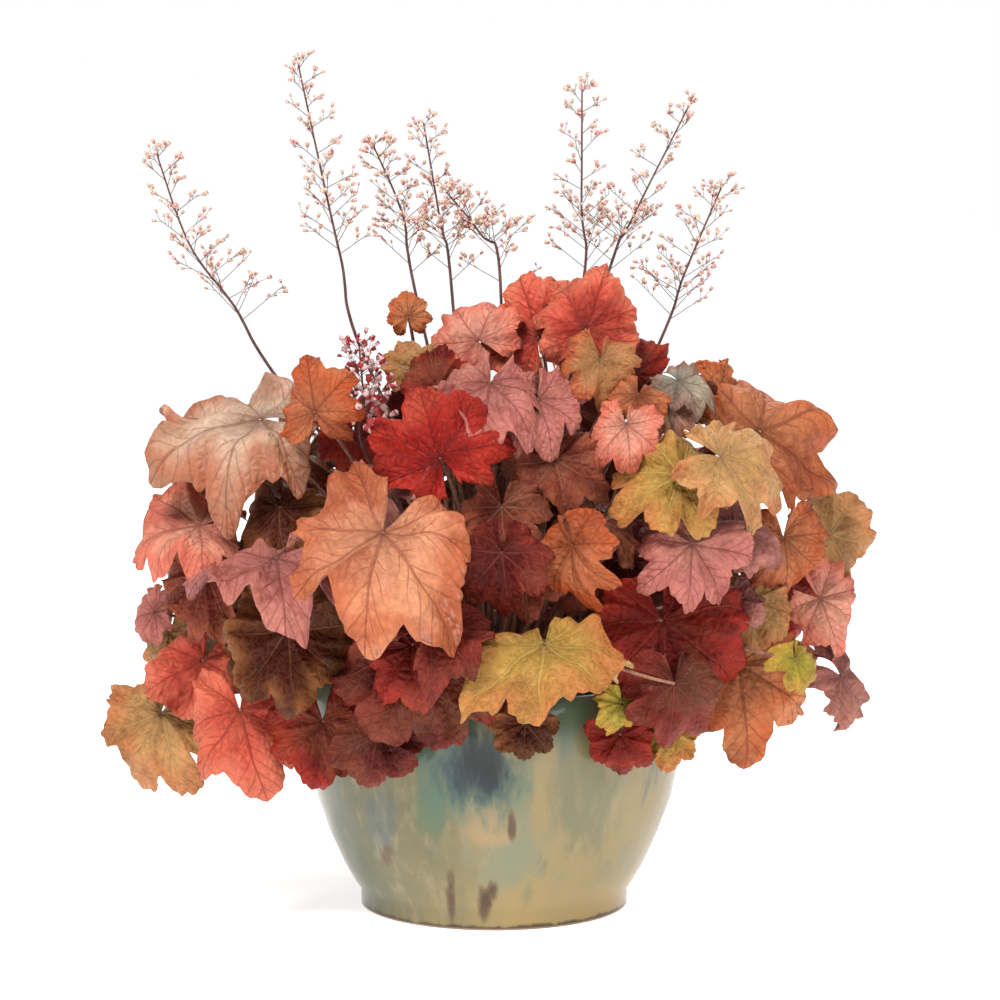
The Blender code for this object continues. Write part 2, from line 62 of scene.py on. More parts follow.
# Pot
POT_HEIGHT = 150
FOOT_RADIUS = 85
FOOT_BAND = 10
BELLY_RADIUS = 121
RIM_RADIUS = 116
WALL = 7.5
FLOOR_TOP = 12
POT_SEGMENTS = 36
LIP_STEPS = 3
DRAIN_RADIUS = 7
DRAIN_CIRCLE = 42
DRAINS = 3
SHARP_ANGLE = math.radians(50)
SWELL_END = 0.8
SWELL_POWER = 0.85
OUTER_HEIGHTS = (0, FOOT_BAND, 17, 28, 48, 70, 95, 120, 136, POT_HEIGHT - WALL / 2)
INNER_HEIGHTS = (POT_HEIGHT - WALL / 2, 120, 84, 48, 24)

# Potting mix and crown
SOIL_TOP = 128
SOIL_SEGMENTS = 24
SOIL_SIDES = (24, 48, 84, 120)
SOIL_EDGE_FALL = 3
SOIL_EDGE_INSET = 4
SOIL_FLAT_RADIUS = 60
SEAT_GAP = 0.3
CROWN_RADIUS = 48
CROWN_HEIGHT = 28
CROWN_SEGMENTS = 20
CROWN_RINGS = 5
GROWING_POINTS = 120
GROWING_SHARE = 0.88
UPRIGHT_PULL = 0.6
GOLDEN_ANGLE = math.radians(137.5)

# Leaves
BLADE_THICKNESS = 0.9
BLADE_REACH = 0.58
BASE_SHRINK = 0.36
SHRINK_POWER = 1.6
BASE_ANGLE = 166
LOBE_SPACING = 46
OUTLINE_ANGLES = (0, 13, 23, 34, 46, 69, 92, 115, 138, 152, BASE_ANGLE)
RING_SHARES = (0.55, 1)
WAVE = 0.14
WAVES = 3
LOBE_VARIETY = 0.07
VARIETY_STEP = 2.1
VARIETY_PHASE = 1.7
LOBE_SKEW = 5
SKEW_PHASE = 2.3
HUB_SHIFT = 0.14
LEAST_FACING = 0.35
REAR_TIP_OUT = 0.5
PETIOLE_RADIUS = 1.8
PETIOLE_TAPER = 0.35
PETIOLE_SIDES = 4
PETIOLE_STATIONS = 6
COLLAR = 3
ARRIVAL = Vector((0, 0.38, 0.8))
ARRIVAL_SHARE = 0.3

# How a leaf finds room: it bends its petiole, and then moves a little outwards or inwards
CLEARANCE = 1.5
PETIOLE_CLEARANCE = 1
PUSH_STEP = 3
MOST_PUSHES = 24
BOWS = (0, 0.12, -0.12, 0.24, -0.24, 0.36, -0.36, 0.5, -0.5)
RISES = (0.4, 0.6, 0.25)

# Flower stalks
SCAPE_RADIUS = 1.5
SCAPE_TIP_RADIUS = 0.8
SCAPE_SIDES = 4
SCAPE_STEPS = 3
SCAPE_RISE = 40
SCAPE_ROOT_SHARE = 0.5
BRANCH_RADIUS = 0.7
BRANCH_SIDES = 3
FIRST_BRANCH = 0.35
BRANCH_RISE = 0.55
BRANCH_SHORTENING = 0.6
BUD_RADIUS = 2.4
BUD_LENGTH = 6

# Camera
LENS = 126
SENSOR = 36
AIM = Vector((3.8, 0, 257.7)) * MM

# Light and stage, with lengths in metres. A lamp is a name, a place, a size and watts
WORLD_STRENGTH = 0.36
LAMPS = (
    ("key", (-0.8, -1.4, 2.2), 0.8, 52),
    ("fill", (1.6, -1.4, 1.3), 1.0, 14),
    ("back", (0.6, 1.6, 1.8), 1.0, 16),
)
FLOOR_SIZE = 24
FLOOR_COLOUR = (0.93, 0.93, 0.93)
FLOOR_ROUGHNESS = 0.8
FLOOR_GLOW = 0.69
BACKDROP_RADIUS = 11
BACKDROP_SIDES = 48

# Fine leaves. A growth is the power of the share from hub to edge with which a shape sets in
FINE_ANGLES = 126
FINE_RINGS = 12
DEEP_ANGLES = 90
DEEP_RINGS = 8
INNERMOST_RING = 0.02
RING_POWER = 0.85
FINE_THICKNESS = 0.45
TOOTH_SPACING = LOBE_SPACING / 5
TOOTH_DEPTH = 0.05
TOOTH_GROWTH = 4
PLEAT = 0.11
FOLD = 0.24
ROLL = 0.3
ROLL_GROWTH = 6
GROOVE = 0.8
GROOVE_WIDTH = 2.2
GROOVE_START = 3
GROOVE_END = 1.15
CURL = 0.26
CURL_GROWTH = 5
RUFFLE = 0.1
RUFFLE_GROWTH = 4
RUFFLE_SPACING = 23
RUFFLE_PHASE = 1.9
BUCKLE = 0.2
BUCKLE_GRAIN = 0.042
BUCKLE_SIDEWAYS = 0.5
BUCKLE_STEP = 3.7
FINE_PETIOLE_SIDES = 8
FINE_PETIOLE_STATIONS = 18
FINE_TAPER = 0.42
SHEATH = 1.5
SHEATH_SHARE = 0.12

# How strongly a shape shows round a leaf: its middle, its swing, its pace in radians a lobe, and how far
# one leaf's pattern is from the next one's
TOOTH_PATTERN = (1, 0.4, 9.66, 1)
CURL_PATTERN = (0.6, 0.6, 1.3, 2)
FOLD_PATTERN = (0.5, 0.5, 0, 2.7)
ROLL_PATTERN = (0, 1, 0.8, 3.1)
RUFFLE_PATTERN = (0.7, 0.5, 5.06, 1)

# Fine flower stalks. A pair is a range that a spray's or a flower's value is drawn from, and a bell's
# rings are shares of its length and radius
FLOWER_SEED = 11
FINE_SCAPE_SIDES = 8
FINE_SCAPE_STEPS = 4
FINE_TIP_RADIUS = 0.48
SPRAYS = 30
SPRAY_JITTER = 0.4
SPRAY_RISE = 0.5
SPRAY_SHORTENING = 0.72
SPRAY_POWER = 1.3
SPRAY_LENGTH = 0.75
SPRAY_VARIETY = 0.35
SPRAY_TWIGS = 5
FIRST_TWIG = 0.45
TWIG_SIDES = 3
TWIG_RADIUS = 0.28
TWIG_TAPER = 0.7
TWIG_SPREAD = 1.1
PEDICEL_RADIUS = 0.18
PEDICEL_TURN = (-1, 1)
PEDICEL_LIFT = (-0.4, 1)
PEDICEL_LENGTH = (2.5, 6)
FLOWER_LENGTH = 3.4
FLOWER_RADIUS = 1.4
FLOWER_SIDES = 6
FLOWER_SIZE = (0.55, 1.0)
BELL_RINGS = ((0.0, 0.25), (0.35, 0.9), (0.75, 0.8), (1.0, 1.15), (0.72, 0.3))
BUD_PLUMPNESS = 1.1

# Fine pot, soil and crown. A crumb's pairs are ranges in millimetres and in shares of its size
FINE_POT_SEGMENTS = 160
FINE_DRAIN_SIDES = 24
DISC_STEPS = 96
DISC_CENTRE = 0.02
SOIL_RINGS = 26
SOIL_CLEARANCE = 1
SOIL_ROUGHNESS = 2.5
SOIL_GRAIN = 0.07
SOIL_OCTAVES = 4
CRUMBS = 420
CRUMB_SEED = 3
CRUMB_SIZE = (0.8, 2.6)
CRUMB_UNEVENNESS = (0.6, 1.2)
CROWN_FINE_RINGS = 28
CROWN_KNOBS = 2.2
CROWN_GRAIN = 0.12
CROWN_OCTAVES = 5

# Leaves that only the fine model has. A pair is a range that an inner leaf's value is drawn from
INNER_NAME = "leaf_inner"
MORE_NUMBERS = 100
FILLER_SEED = 5
FILLER_TRIES = 260
FILLER_RISE = (0.08, 1)
FILLER_DEPTH = (0.55, 0.9)
FILLER_LEAN = (-0.8, 0.8)
FILLER_WIDTH = (42, 80)
FILLER_CUP = (0, 0.2)
FILLER_DROOP = (0.1, 0.35)
FILLER_LOBING = (0.18, 0.3)
FILLER_LOOK_UP = 0.3
FILLER_TIP_OUT = 0.4
FILLER_SINK = 60
SPARE_TURN = 0.07
# Dark tones for inner leaves at the front: partly the plant's own dark inner leaves, partly painted shade
# deep in the mound
DEEP_TONES = ("crimson", "burgundy", "russet", "brown", "crimson", "mauve")
REAR_TONES = ("crimson", "burgundy", "russet", "olive", "orange", "rose", "red", "tan", "salmon")
MOUND_RADIUS = 205
MOUND_BASE = 150
MOUND_RISE = 190
MOUND_TOP = 1.35
SHALLOWEST = 0.9
SMALL_CLEARANCE = 1

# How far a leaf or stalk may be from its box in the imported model
FRAME_MATCH = 1

# Blender's noise vectors change from run to run unless they have a seed
NOISE_SEED = 7

# Looks. A grain is a noise's scale in counts a metre, its detail and its roughness. An edge is the two
# values between which a smooth step runs. A span is what a value is multiplied by and what is added then.
# A share is how much of a colour is mixed in. A bump is a strength and a depth in millimetres
VEIN_GRAIN = (60, 2)
VEIN_WANDER = 0.06
VEIN_END = 1.25
MAIN_VEIN_EDGE = (0.024, 0.010)
SIDE_VEIN_REACH = (0.42, 0.22)
SIDE_VEIN_SLANT = -1.7
SIDE_VEIN_SPACING = 0.075
SIDE_VEIN_EDGE = (0.012, 0.002)
SIDE_VEIN_SHARE = 0.6
NET_SCALE = 190
NET_EDGE = (0.10, 0.02)
NET_SHARE = 0.3
MARGIN_GRAIN = (28, 3)
MARGIN_WANDER = 0.7
MARGIN_EDGE = (0.75, 1.35)
PATCH_GRAIN = (26, 5, 0.62)
PATCH_EDGE = (0.46, 0.66)
PATCH_SHARE = 0.85
FRESH = (0.42, 0.26, 0.12)
FRESH_SHARE = 0.22
FRESH_GAIN = 1.25
CLOUD_STRETCH = (1, 1, 1.6)
CLOUD_GRAIN = (17, 3)
CLOUD_EDGE = (0.5, 0.66)
CLOUD_SHARE = 0.25
CLOUD_GAIN = 2
CLOUD_LIMIT = 0.7
UNDER_VEIN_SHARE = 0.5
MOTTLE_GRAIN = (240, 4)
MOTTLE_SPAN = (0.7, 0.64)
# Painted shade on the leaves: the colour darkens in the valleys between lobes and towards the hub
VALLEY_WIDTH = (0.3, 0.5)
VALLEY_REACH = (1.05, 0.45)
VALLEY_PAINTED_SHADE = -0.3
HEART_PAINTED_SHADE = (-0.5, 0.7)
PAINTED_SHADE_SPAN = (0.62, 0.52)
SHEEN_GRAIN = (90, 2)
SHEEN_SPAN = (0.3, 0.32)
PUCKER_EDGE = (0.0, 0.4)
PUCKER_VEINS = -1.2
LEAF_BUMP = (0.8, 0.9)
SCAPE_COLOURS = ((0.16, 0.07, 0.06), (0.07, 0.03, 0.03))
PETIOLE_COLOURS = ((0.36, 0.17, 0.10), (0.20, 0.07, 0.05))
STREAK_STRETCH = (1, 1, 0.15)
STREAK_GRAIN = (500, 3)
STREAK_EDGE = (0.35, 0.7)
HAIR_GRAIN = (900, 2)
HAIR_BUMP = (0.3, 0.2)
BUD_RED = (0.36, 0.03, 0.035)
BUD_WHITE = (0.80, 0.52, 0.50)
BELL_BASES = ((0.50, 0.15, 0.11), (0.48, 0.24, 0.15))
BELL_TIPS = ((0.80, 0.47, 0.39), (0.78, 0.58, 0.45))
SOIL_BROWNS = ((0.018, 0.012, 0.009), (0.085, 0.055, 0.036))
PERLITE = (0.32, 0.29, 0.25)
BARKS = ((0.06, 0.03, 0.018), (0.17, 0.09, 0.05))
CRACK = (0.02, 0.012, 0.01)
GLAZE_GREEN = (0.125, 0.125, 0.06)
GLAZE_OCHRE = (0.33, 0.25, 0.11)
GLAZE_CREAM = (0.24, 0.235, 0.135)
GLAZE_WISP = (0.34, 0.275, 0.155)
GLAZE_SAGE = (0.11, 0.14, 0.085)
GLAZE_LOW = (0.40, 0.27, 0.10)
GLAZE_RIM = (0.12, 0.16, 0.10)
GLAZE_SPECK = (0.10, 0.07, 0.03)
FOOT_LINE = (0.05, 0.03, 0.015)
BARE_CLAY = (0.36, 0.25, 0.17)
RUN_STRETCH = (1, 1, 0.22)
RUN_GRAIN = (34, 4, 0.55)
WISP_STRETCH = (1, 1, 0.3)
WISP_GRAIN = (95, 4, 0.6)


class Leaf(NamedTuple):
    """A leaf. across and up place the middle of its blade in the picture, and out is how far in front
    of it the blade stands. tip is the midrib's direction in the picture, 0 right and 90 up. turn and
    lift say where its face looks, in degrees to the viewer's right and above the horizon."""

    name: str
    tone: str
    across: float
    up: float
    out: float
    width: float
    tip: float
    turn: float
    lift: float
    cup: float = 0.1
    droop: float = 0.2
    lobing: float = 0.19


class Placed(NamedTuple):
    """A leaf that has found its place: where its hub is, its axes, and its petiole's route."""

    leaf: Leaf
    number: int
    hub: Vector
    axes: Matrix
    root: Vector
    facing: Vector
    rise: float
    bow: float


class RearLeaf(NamedTuple):
    """A leaf on the side that the viewer doesn't see, its tip outwards and down. around is its place
    round the plant, in degrees from the viewer's right towards the back."""

    name: str
    tone: str
    around: float
    radius: float
    height: float
    width: float
    lift: float


class Stalk(NamedTuple):
    """A flower stalk: the places in the picture that its scape passes, how far in front of it the
    scape stands, and how long its panicle is."""

    name: str
    places: tuple
    out: float
    panicle: float
    branches: int
    spread: float


LEAVES = (
    Leaf("leaf_top_coral", "coral", 25, 370, 30, 74, 105, -15, 22, 0.15, -0.1, 0.2),
    Leaf("leaf_top_red", "coral", 60, 375, 45, 70, 75, 10, 25, 0.15, -0.1, 0.2),
    Leaf("leaf_top_crimson", "crimson", 95, 340, 50, 55, 30, 30, 30),
    Leaf("leaf_top_salmon", "salmon", -15, 365, 35, 65, 130, -15, 35),
    Leaf("leaf_rose_pale", "rose", 30, 315, 90, 60, -70, 5, 45),
    Leaf("leaf_rose_middle", "rose", -5, 325, 70, 75, -110, -5, 55),
    Leaf("leaf_red_middle", "red", -38, 295, 110, 80, 110, -10, 22, 0.2, -0.1, 0.24),
    Leaf("leaf_mauve_left", "mauve", -75, 265, 130, 65, 150, -10, 50),
    Leaf("leaf_left_orange", "orange", -114, 322, 105, 55, 95, -28, 10),
    Leaf("leaf_left_tan", "tan", -163, 311, 70, 126, 172, -12, 68, 0.05, 0.15, 0.24),
    Leaf("leaf_left_red", "red", -190, 275, 20, 70, 190, -30, 15),
    Leaf("leaf_left_salmon", "salmon", -198, 240, 40, 80, 185, -15, 66),
    Leaf("leaf_left_brown", "brown", -135, 245, 65, 64, -85, -10, 38),
    Leaf("leaf_peach_front", "peach", -76, 225, 160, 116, -115, -8, 54, 0.05, 0.25, 0.16),
    Leaf("leaf_rose_arch", "rose", -148, 216, 122, 96, 205, -10, 76, -0.05, 0),
    Leaf("leaf_cupped_brown", "brown", -130, 162, 125, 90, -85, -8, 12, 0.25),
    Leaf("leaf_left_olive", "olive", -210, 165, 10, 65, -115, -45, 12),
    Leaf("leaf_low_golden", "olive", -218, 111, 30, 82, -120, -20, 30, 0.1, 0.2, 0.2),
    Leaf("leaf_low_rose", "coral", -190, 145, 50, 75, -115, -20, 20),
    Leaf("leaf_low_coral", "coral", -160, 112, 105, 82, -80, -12, 30, 0.1, 0.2, 0.18),
    Leaf("leaf_low_crimson", "crimson", -110, 105, 105, 70, -95, -5, 6),
    Leaf("leaf_low_burgundy", "burgundy", -44, 142, 145, 105, -80, -3, 22, 0.1, 0.2, 0.2),
    Leaf("leaf_golden_front", "golden", 32, 157, 178, 100, -90, 3, 66, 0.05, 0.25, 0.15),
    Leaf("leaf_orange_edge", "orange", 50, 220, 145, 60, -90, -48, 12),
    Leaf("leaf_maroon_right", "burgundy", 85, 210, 120, 80, -50, 8, 20),
    Leaf("leaf_maroon_low", "crimson", 110, 165, 125, 105, -80, 10, 12),
    Leaf("leaf_right_rose", "rose", 125, 220, 140, 70, -95, 8, 28),
    Leaf("leaf_right_mauve", "mauve", 160, 235, 110, 60, -30, 18, 38),
    Leaf("leaf_right_edge", "olive", 220, 235, 20, 65, 0, 32, 20),
    Leaf("leaf_right_salmon", "salmon", 215, 190, 50, 65, -30, 28, 26),
    Leaf("leaf_low_orange", "orange", 158, 138, 118, 96, -80, 12, 26, 0.1, 0.25, 0.22),
    Leaf("leaf_low_rust", "burgundy", 115, 130, 120, 65, -90, 8, 8),
    Leaf("leaf_russet_middle", "russet", 40, 275, 95, 65, -80, 0, 26),
    Leaf("leaf_right_coral", "orange", 180, 306, 40, 110, 20, 20, 35, 0.1, 0.15, 0.3),
    Leaf("leaf_right_golden", "golden", 108, 268, 120, 75, 205, 0, 38, 0.05, 0.3, 0.2),
    Leaf("leaf_right_peach", "olive", 155, 283, 95, 78, -10, 12, 45, 0.05, 0.3, 0.22),
)

REAR_LEAVES = (
    RearLeaf("leaf_rear_top_left", "red", 122, 92, 312, 96, 45),
    RearLeaf("leaf_rear_top_right", "orange", 60, 96, 306, 100, 45),
    RearLeaf("leaf_rear_upper_middle", "rose", 92, 128, 286, 110, 42),
    RearLeaf("leaf_rear_upper_left", "tan", 152, 150, 268, 108, 40),
    RearLeaf("leaf_rear_upper_right", "peach", 28, 160, 262, 108, 40),
    RearLeaf("leaf_rear_middle_left", "coral", 120, 175, 228, 120, 32),
    RearLeaf("leaf_rear_middle_right", "burgundy", 66, 175, 224, 120, 32),
    RearLeaf("leaf_rear_low_left", "olive", 162, 185, 176, 112, 25),
    RearLeaf("leaf_rear_low_right", "russet", 20, 182, 172, 112, 25),
    RearLeaf("leaf_rear_skirt_left", "salmon", 128, 180, 150, 116, 20),
    RearLeaf("leaf_rear_skirt_middle", "golden", 92, 182, 146, 120, 20),
    RearLeaf("leaf_rear_skirt_right", "crimson", 56, 180, 150, 116, 20),
)

STALKS = (
    Stalk("stalk_far_left", ((-135, 333), (-163, 380), (-191, 419), (-211, 476)), -20, 120, 8, 32),
    Stalk("stalk_tall_left", ((-84, 354), (-95, 405), (-106, 455), (-122, 531)), -10, 125, 8, 28),
    Stalk("stalk_left_leaning", ((-50, 392), (-57, 437), (-76, 482)), -35, 95, 6, 26),
    Stalk("stalk_left_upright", ((-27, 396), (-33, 430), (-44, 495)), -15, 110, 6, 26),
    Stalk("stalk_middle_leaning", ((4, 396), (-7, 424), (-30, 452)), 0, 80, 6, 28),
    Stalk("stalk_right_upright", ((55, 389), (55, 440), (55, 516)), -30, 125, 8, 30),
    Stalk("stalk_right_leaning", ((72, 402), (84, 430), (121, 504)), -45, 120, 8, 32),
    Stalk("stalk_far_right", ((104, 357), (119, 399), (143, 456)), -15, 95, 8, 34),
    Stalk("stalk_low_budded", ((-80, 285), (-82, 320), (-85, 356)), 80, 75, 6, 24),
)


def cut(kept, other):
    """Cut the second object out of the first, and remove the second."""
    change = kept.modifiers.new("change", "BOOLEAN")
    change.operation = "DIFFERENCE"
    change.object = other
    bpy.context.view_layer.update()
    seen = kept.evaluated_get(bpy.context.evaluated_depsgraph_get())
    result = bpy.data.meshes.new_from_object(seen)
    kept.modifiers.remove(change)
    kept.data = result
    bpy.data.objects.remove(other, do_unlink=True)


def join_shapes(*shapes):
    places = []
    faces = []
    for more_places, more_faces in shapes:
        start = len(places)
        places += more_places
        faces += [tuple(start + index for index in face) for face in more_faces]
    return places, faces


def band(low, high, sides, flipped=False):
    """The faces between two rings of places, from the numbers of their first places."""
    faces = []
    for step in range(sides):
        following = (step + 1) % sides
        face = (low + step, low + following, high + following, high + step)
        faces.append((face[0], face[3], face[2], face[1]) if flipped else face)
    return faces


def tapered(start, end, count):
    return [start + (end - start) * index / (count - 1) for index in range(count)]


def turned(profile, segments):
    """A closed shape turned round Z. The profile runs from the axis to the axis, in millimetres."""
    places = [Vector((0, 0, profile[0][1])) * MM]
    for radius, height in profile[1:-1]:
        for step in range(segments):
            angle = math.tau * step / segments
            places.append(Vector((radius * math.cos(angle), radius * math.sin(angle), height)) * MM)
    places.append(Vector((0, 0, profile[-1][1])) * MM)
    rings = len(profile) - 2
    last = len(places) - 1
    faces = []
    for step in range(segments):
        following = (step + 1) % segments
        faces.append((0, 1 + step, 1 + following))
        for ring in range(rings - 1):
            start = 1 + ring * segments
            faces.append((start + step, start + segments + step, start + segments + following,
                          start + following))
        start = 1 + (rings - 1) * segments
        faces.append((last, start + following, start + step))
    return places, faces


def tube(path, radii, sides, facing):
    """A closed round tube along a path. facing is the way out of its first end."""
    side = facing.orthogonal().normalized()
    places = []
    faces = [tuple(range(sides))]
    for index, centre in enumerate(path):
        ahead = path[min(index + 1, len(path) - 1)] - path[max(index - 1, 0)]
        if index == 0:
            ahead = facing
        ahead = ahead.normalized()
        side = (side - ahead * side.dot(ahead)).normalized()
        other = ahead.cross(side)
        for step in range(sides):
            angle = math.tau * step / sides
            offset = side * math.cos(angle) + other * math.sin(angle)
            places.append(centre + offset * radii[index] * MM)
        if index:
            faces += band((index - 1) * sides, index * sides, sides)
    end = (len(path) - 1) * sides
    faces.append(tuple(end + step for step in reversed(range(sides))))
    return places, faces


def seen_at(across, up, out):
    """The place that the viewer sees at across and up, out millimetres nearer than the axis."""
    place = Vector((across, 0, up)) * MM
    return place + (EYE - place).normalized() * out * MM


def pot_outer(height):
    """The bowl's outer radius at a height: an upright foot, then a swelling side that draws in a little
    to its rim."""
    share = max(height - FOOT_BAND, 0) / (POT_HEIGHT - FOOT_BAND)
    swell = math.sin(math.pi / 2 * min(share / SWELL_END, 1)) ** SWELL_POWER
    draw_in = max(share - SWELL_END, 0) / (1 - SWELL_END)
    widest = FOOT_RADIUS + (BELLY_RADIUS - FOOT_RADIUS) * swell
    return widest - (BELLY_RADIUS - RIM_RADIUS) * draw_in ** 2


def pot_inner(height):
    return pot_outer(height) - WALL


def pot_profile():
    """The bowl's section from the middle of its base, up its side, over its lip and down inside."""
    outer = [(pot_outer(height), height) for height in OUTER_HEIGHTS]
    lip = []
    for step in range(1, LIP_STEPS + 1):
        angle = math.pi * step / (LIP_STEPS + 1)
        radius = RIM_RADIUS - WALL / 2 + WALL / 2 * math.cos(angle)
        lip.append((radius, POT_HEIGHT - WALL / 2 + WALL / 2 * math.sin(angle)))
    inner = [(pot_inner(height), height) for height in INNER_HEIGHTS]
    inner.append((pot_inner(FLOOR_TOP) - WALL, FLOOR_TOP))
    return [(0, 0), *outer, *lip, *inner, (0, FLOOR_TOP)]


def soil_shape():
    """Potting mix, domed a little, with a gap to the bowl that even its flat facets keep."""
    margin = SEAT_GAP + BELLY_RADIUS * (1 - math.cos(math.pi / POT_SEGMENTS))
    bottom = FLOOR_TOP + SEAT_GAP
    sides = [(pot_inner(height) - margin, height) for height in SOIL_SIDES]
    foot = (pot_inner(FLOOR_TOP) - WALL - 2 * margin, bottom)
    edge = (pot_inner(SOIL_TOP) - SOIL_EDGE_INSET, SOIL_TOP - SOIL_EDGE_FALL)
    flat = (SOIL_FLAT_RADIUS, SOIL_TOP)
    return turned([(0, bottom), foot, *sides, edge, flat, (0, SOIL_TOP)], SOIL_SEGMENTS)


def crown_shape():
    bottom = SOIL_TOP + SEAT_GAP
    profile = [(0, bottom)]
    for ring in range(CROWN_RINGS):
        angle = math.pi / 2 * ring / CROWN_RINGS
        profile.append((CROWN_RADIUS * math.cos(angle), bottom + CROWN_HEIGHT * math.sin(angle)))
    profile.append((0, bottom + CROWN_HEIGHT))
    return turned(profile, CROWN_SEGMENTS)


def tree_of(shape):
    return BVHTree.FromPolygons(*shape)


class Crown:
    """The crown's growing points, each used by one petiole or scape."""

    def __init__(self, shape):
        tree = tree_of(shape)
        self.free = []
        for number in range(GROWING_POINTS):
            radius = CROWN_RADIUS * GROWING_SHARE * math.sqrt((number + 0.5) / GROWING_POINTS)
            angle = number * GOLDEN_ANGLE
            above = Vector((radius * math.cos(angle), radius * math.sin(angle), 2 * SOIL_TOP)) * MM
            place, normal, _, _ = tree.ray_cast(above, -UP)
            if normal.z < 0:
                normal = -normal
            self.free.append((place + normal * SEAT_GAP * MM, normal))

    def take(self, target):
        """The free growing point that best suits a hub or a scape on its way to the target."""
        reach = Vector((target.x, target.y))
        above = target.z - (SOIL_TOP + CROWN_HEIGHT / 2) * MM
        share = reach.length / (reach.length + max(above, 0) * UPRIGHT_PULL)
        wanted = reach.normalized() * share * CROWN_RADIUS * MM
        best = min(self.free, key=lambda point: (Vector(point[0][:2]) - wanted).length)
        self.free.remove(best)
        return best


def blade_place(leaf, number, theta, share, margin):
    """A place on a blade, from its hub: theta degrees from the midrib, share of the way to its edge."""
    reach = leaf.width * BLADE_REACH
    notch = 1 - abs(math.cos(math.pi * theta / LOBE_SPACING))
    outline = (1 - BASE_SHRINK * (abs(theta) / BASE_ANGLE) ** SHRINK_POWER) * (1 - leaf.lobing * notch)
    outline *= 1 + LOBE_VARIETY * math.sin(VARIETY_STEP * theta / LOBE_SPACING + VARIETY_PHASE * number)
    radius = (reach * outline + margin) * share
    angle = math.radians(theta + LOBE_SKEW * math.sin(math.radians(theta) + SKEW_PHASE * number))
    x = radius * math.sin(angle)
    y = radius * math.cos(angle)
    z = leaf.cup * radius ** 2 / reach - leaf.droop * max(y, 0) ** 2 / reach
    z += WAVE * reach * share ** 2 * math.sin(WAVES * angle + number)
    return Vector((x, y, z)) * MM


def blade_shape(placed, margin):
    """A closed thin blade, made larger all round by the margin."""
    angles = [-theta for theta in reversed(OUTLINE_ANGLES[1:])] + list(OUTLINE_ANGLES)
    half = (BLADE_THICKNESS / 2 + margin) * MM
    places = []
    for side in (half, -half):
        lift = Vector((0, 0, side))
        places.append(placed.hub + placed.axes @ lift)
        for share in RING_SHARES:
            for theta in angles:
                place = blade_place(placed.leaf, placed.number, theta, share, margin) + lift
                places.append(placed.hub + placed.axes @ place)
    count = len(angles)
    layer = 1 + count * len(RING_SHARES)
    faces = []
    for start in (0, layer):
        for step in range(count - 1):
            inner = start + 1 + step
            outer = inner + count
            faces.append((start, inner, inner + 1))
            faces.append((inner, outer, inner + 1))
            faces.append((inner + 1, outer, outer + 1))
    edge = [0, 1, *range(1 + count, 1 + 2 * count), count]
    for here, there in zip(edge, edge[1:] + edge[:1]):
        faces.append((here, there, there + layer))
        faces.append((here, there + layer, here + layer))
    return places, faces


def petiole_path(placed, stations):
    """The way of a petiole that leaves the crown square to it and meets the blade from beneath."""
    start = placed.root + placed.facing * COLLAR * MM
    length = (placed.hub - start).length
    arrival = (placed.axes @ ARRIVAL).normalized()
    sideways = (placed.hub - start).cross(UP).normalized() * placed.bow * length
    path = geometry.interpolate_bezier(
        start,
        start + placed.facing * length * placed.rise + sideways,
        placed.hub - arrival * length * ARRIVAL_SHARE + sideways,
        placed.hub,
        stations,
    )
    return [placed.root, *path]


def petiole_shape(placed, margin):
    path = petiole_path(placed, PETIOLE_STATIONS)
    radii = [PETIOLE_RADIUS * (1 - PETIOLE_TAPER * index / len(path)) + margin for index in range(len(path))]
    if margin:
        path = path[1:]
        radii = radii[1:]
    return tube(path, radii, PETIOLE_SIDES, placed.facing)


def axes_from(normal, tip):
    """Axes with Z along the normal and Y as near to the tip's direction as a flat blade allows."""
    along = (tip - normal * tip.dot(normal)).normalized()
    return Matrix((along.cross(normal), along, normal)).transposed()


def front_pose(leaf):
    """The middle of a seen leaf's blade, its axes, and the way in which it moves to find room."""
    turn = math.radians(leaf.turn)
    lift = math.radians(leaf.lift)
    tip = math.radians(leaf.tip)
    normal = Vector((math.sin(turn) * math.cos(lift), -math.cos(turn) * math.cos(lift), math.sin(lift)))
    middle = seen_at(leaf.across, leaf.up, leaf.out)
    look = (EYE - middle).normalized()
    picture = Vector((math.cos(tip), 0, math.sin(tip)))
    along = picture - look * picture.dot(normal) / max(look.dot(normal), LEAST_FACING)
    return middle, axes_from(normal, along), look


def rear_pose(leaf):
    around = math.radians(leaf.around)
    lift = math.radians(leaf.lift)
    outwards = Vector((math.cos(around), math.sin(around), 0))
    normal = outwards * math.cos(lift) + UP * math.sin(lift)
    middle = (outwards * leaf.radius + UP * leaf.height) * MM
    return middle, axes_from(normal, outwards * REAR_TIP_OUT - UP), normal


def full_leaf(rear):
    return Leaf(rear.name, rear.tone, 0, 0, 0, rear.width, 0, 0, rear.lift)


def settle(leaf, number, pose, crown, blade_room, petiole_room):
    """Bend a leaf's petiole, and move the leaf, until both are clear of what is already placed. A room is
    the shapes to keep clear of and how far."""
    middle, axes, outwards = pose
    hub_offset = axes @ Vector((0, -HUB_SHIFT * leaf.width * MM, 0))
    root, facing = crown.take(middle)
    blade_tree = tree_of(blade_room[0])
    petiole_tree = tree_of(petiole_room[0])
    pushes = [0]
    for step in range(1, MOST_PUSHES):
        pushes += [step * PUSH_STEP, -step * PUSH_STEP]
    for push in pushes:
        hub = middle + outwards * push * MM + hub_offset
        placed = Placed(leaf, number, hub, axes, root, facing, 0, 0)
        if tree_of(blade_shape(placed, blade_room[1])).overlap(blade_tree):
            continue
        for rise in RISES:
            for bow in BOWS:
                placed = placed._replace(rise=rise, bow=bow)
                if not tree_of(petiole_shape(placed, petiole_room[1])).overlap(petiole_tree):
                    return placed
    return None


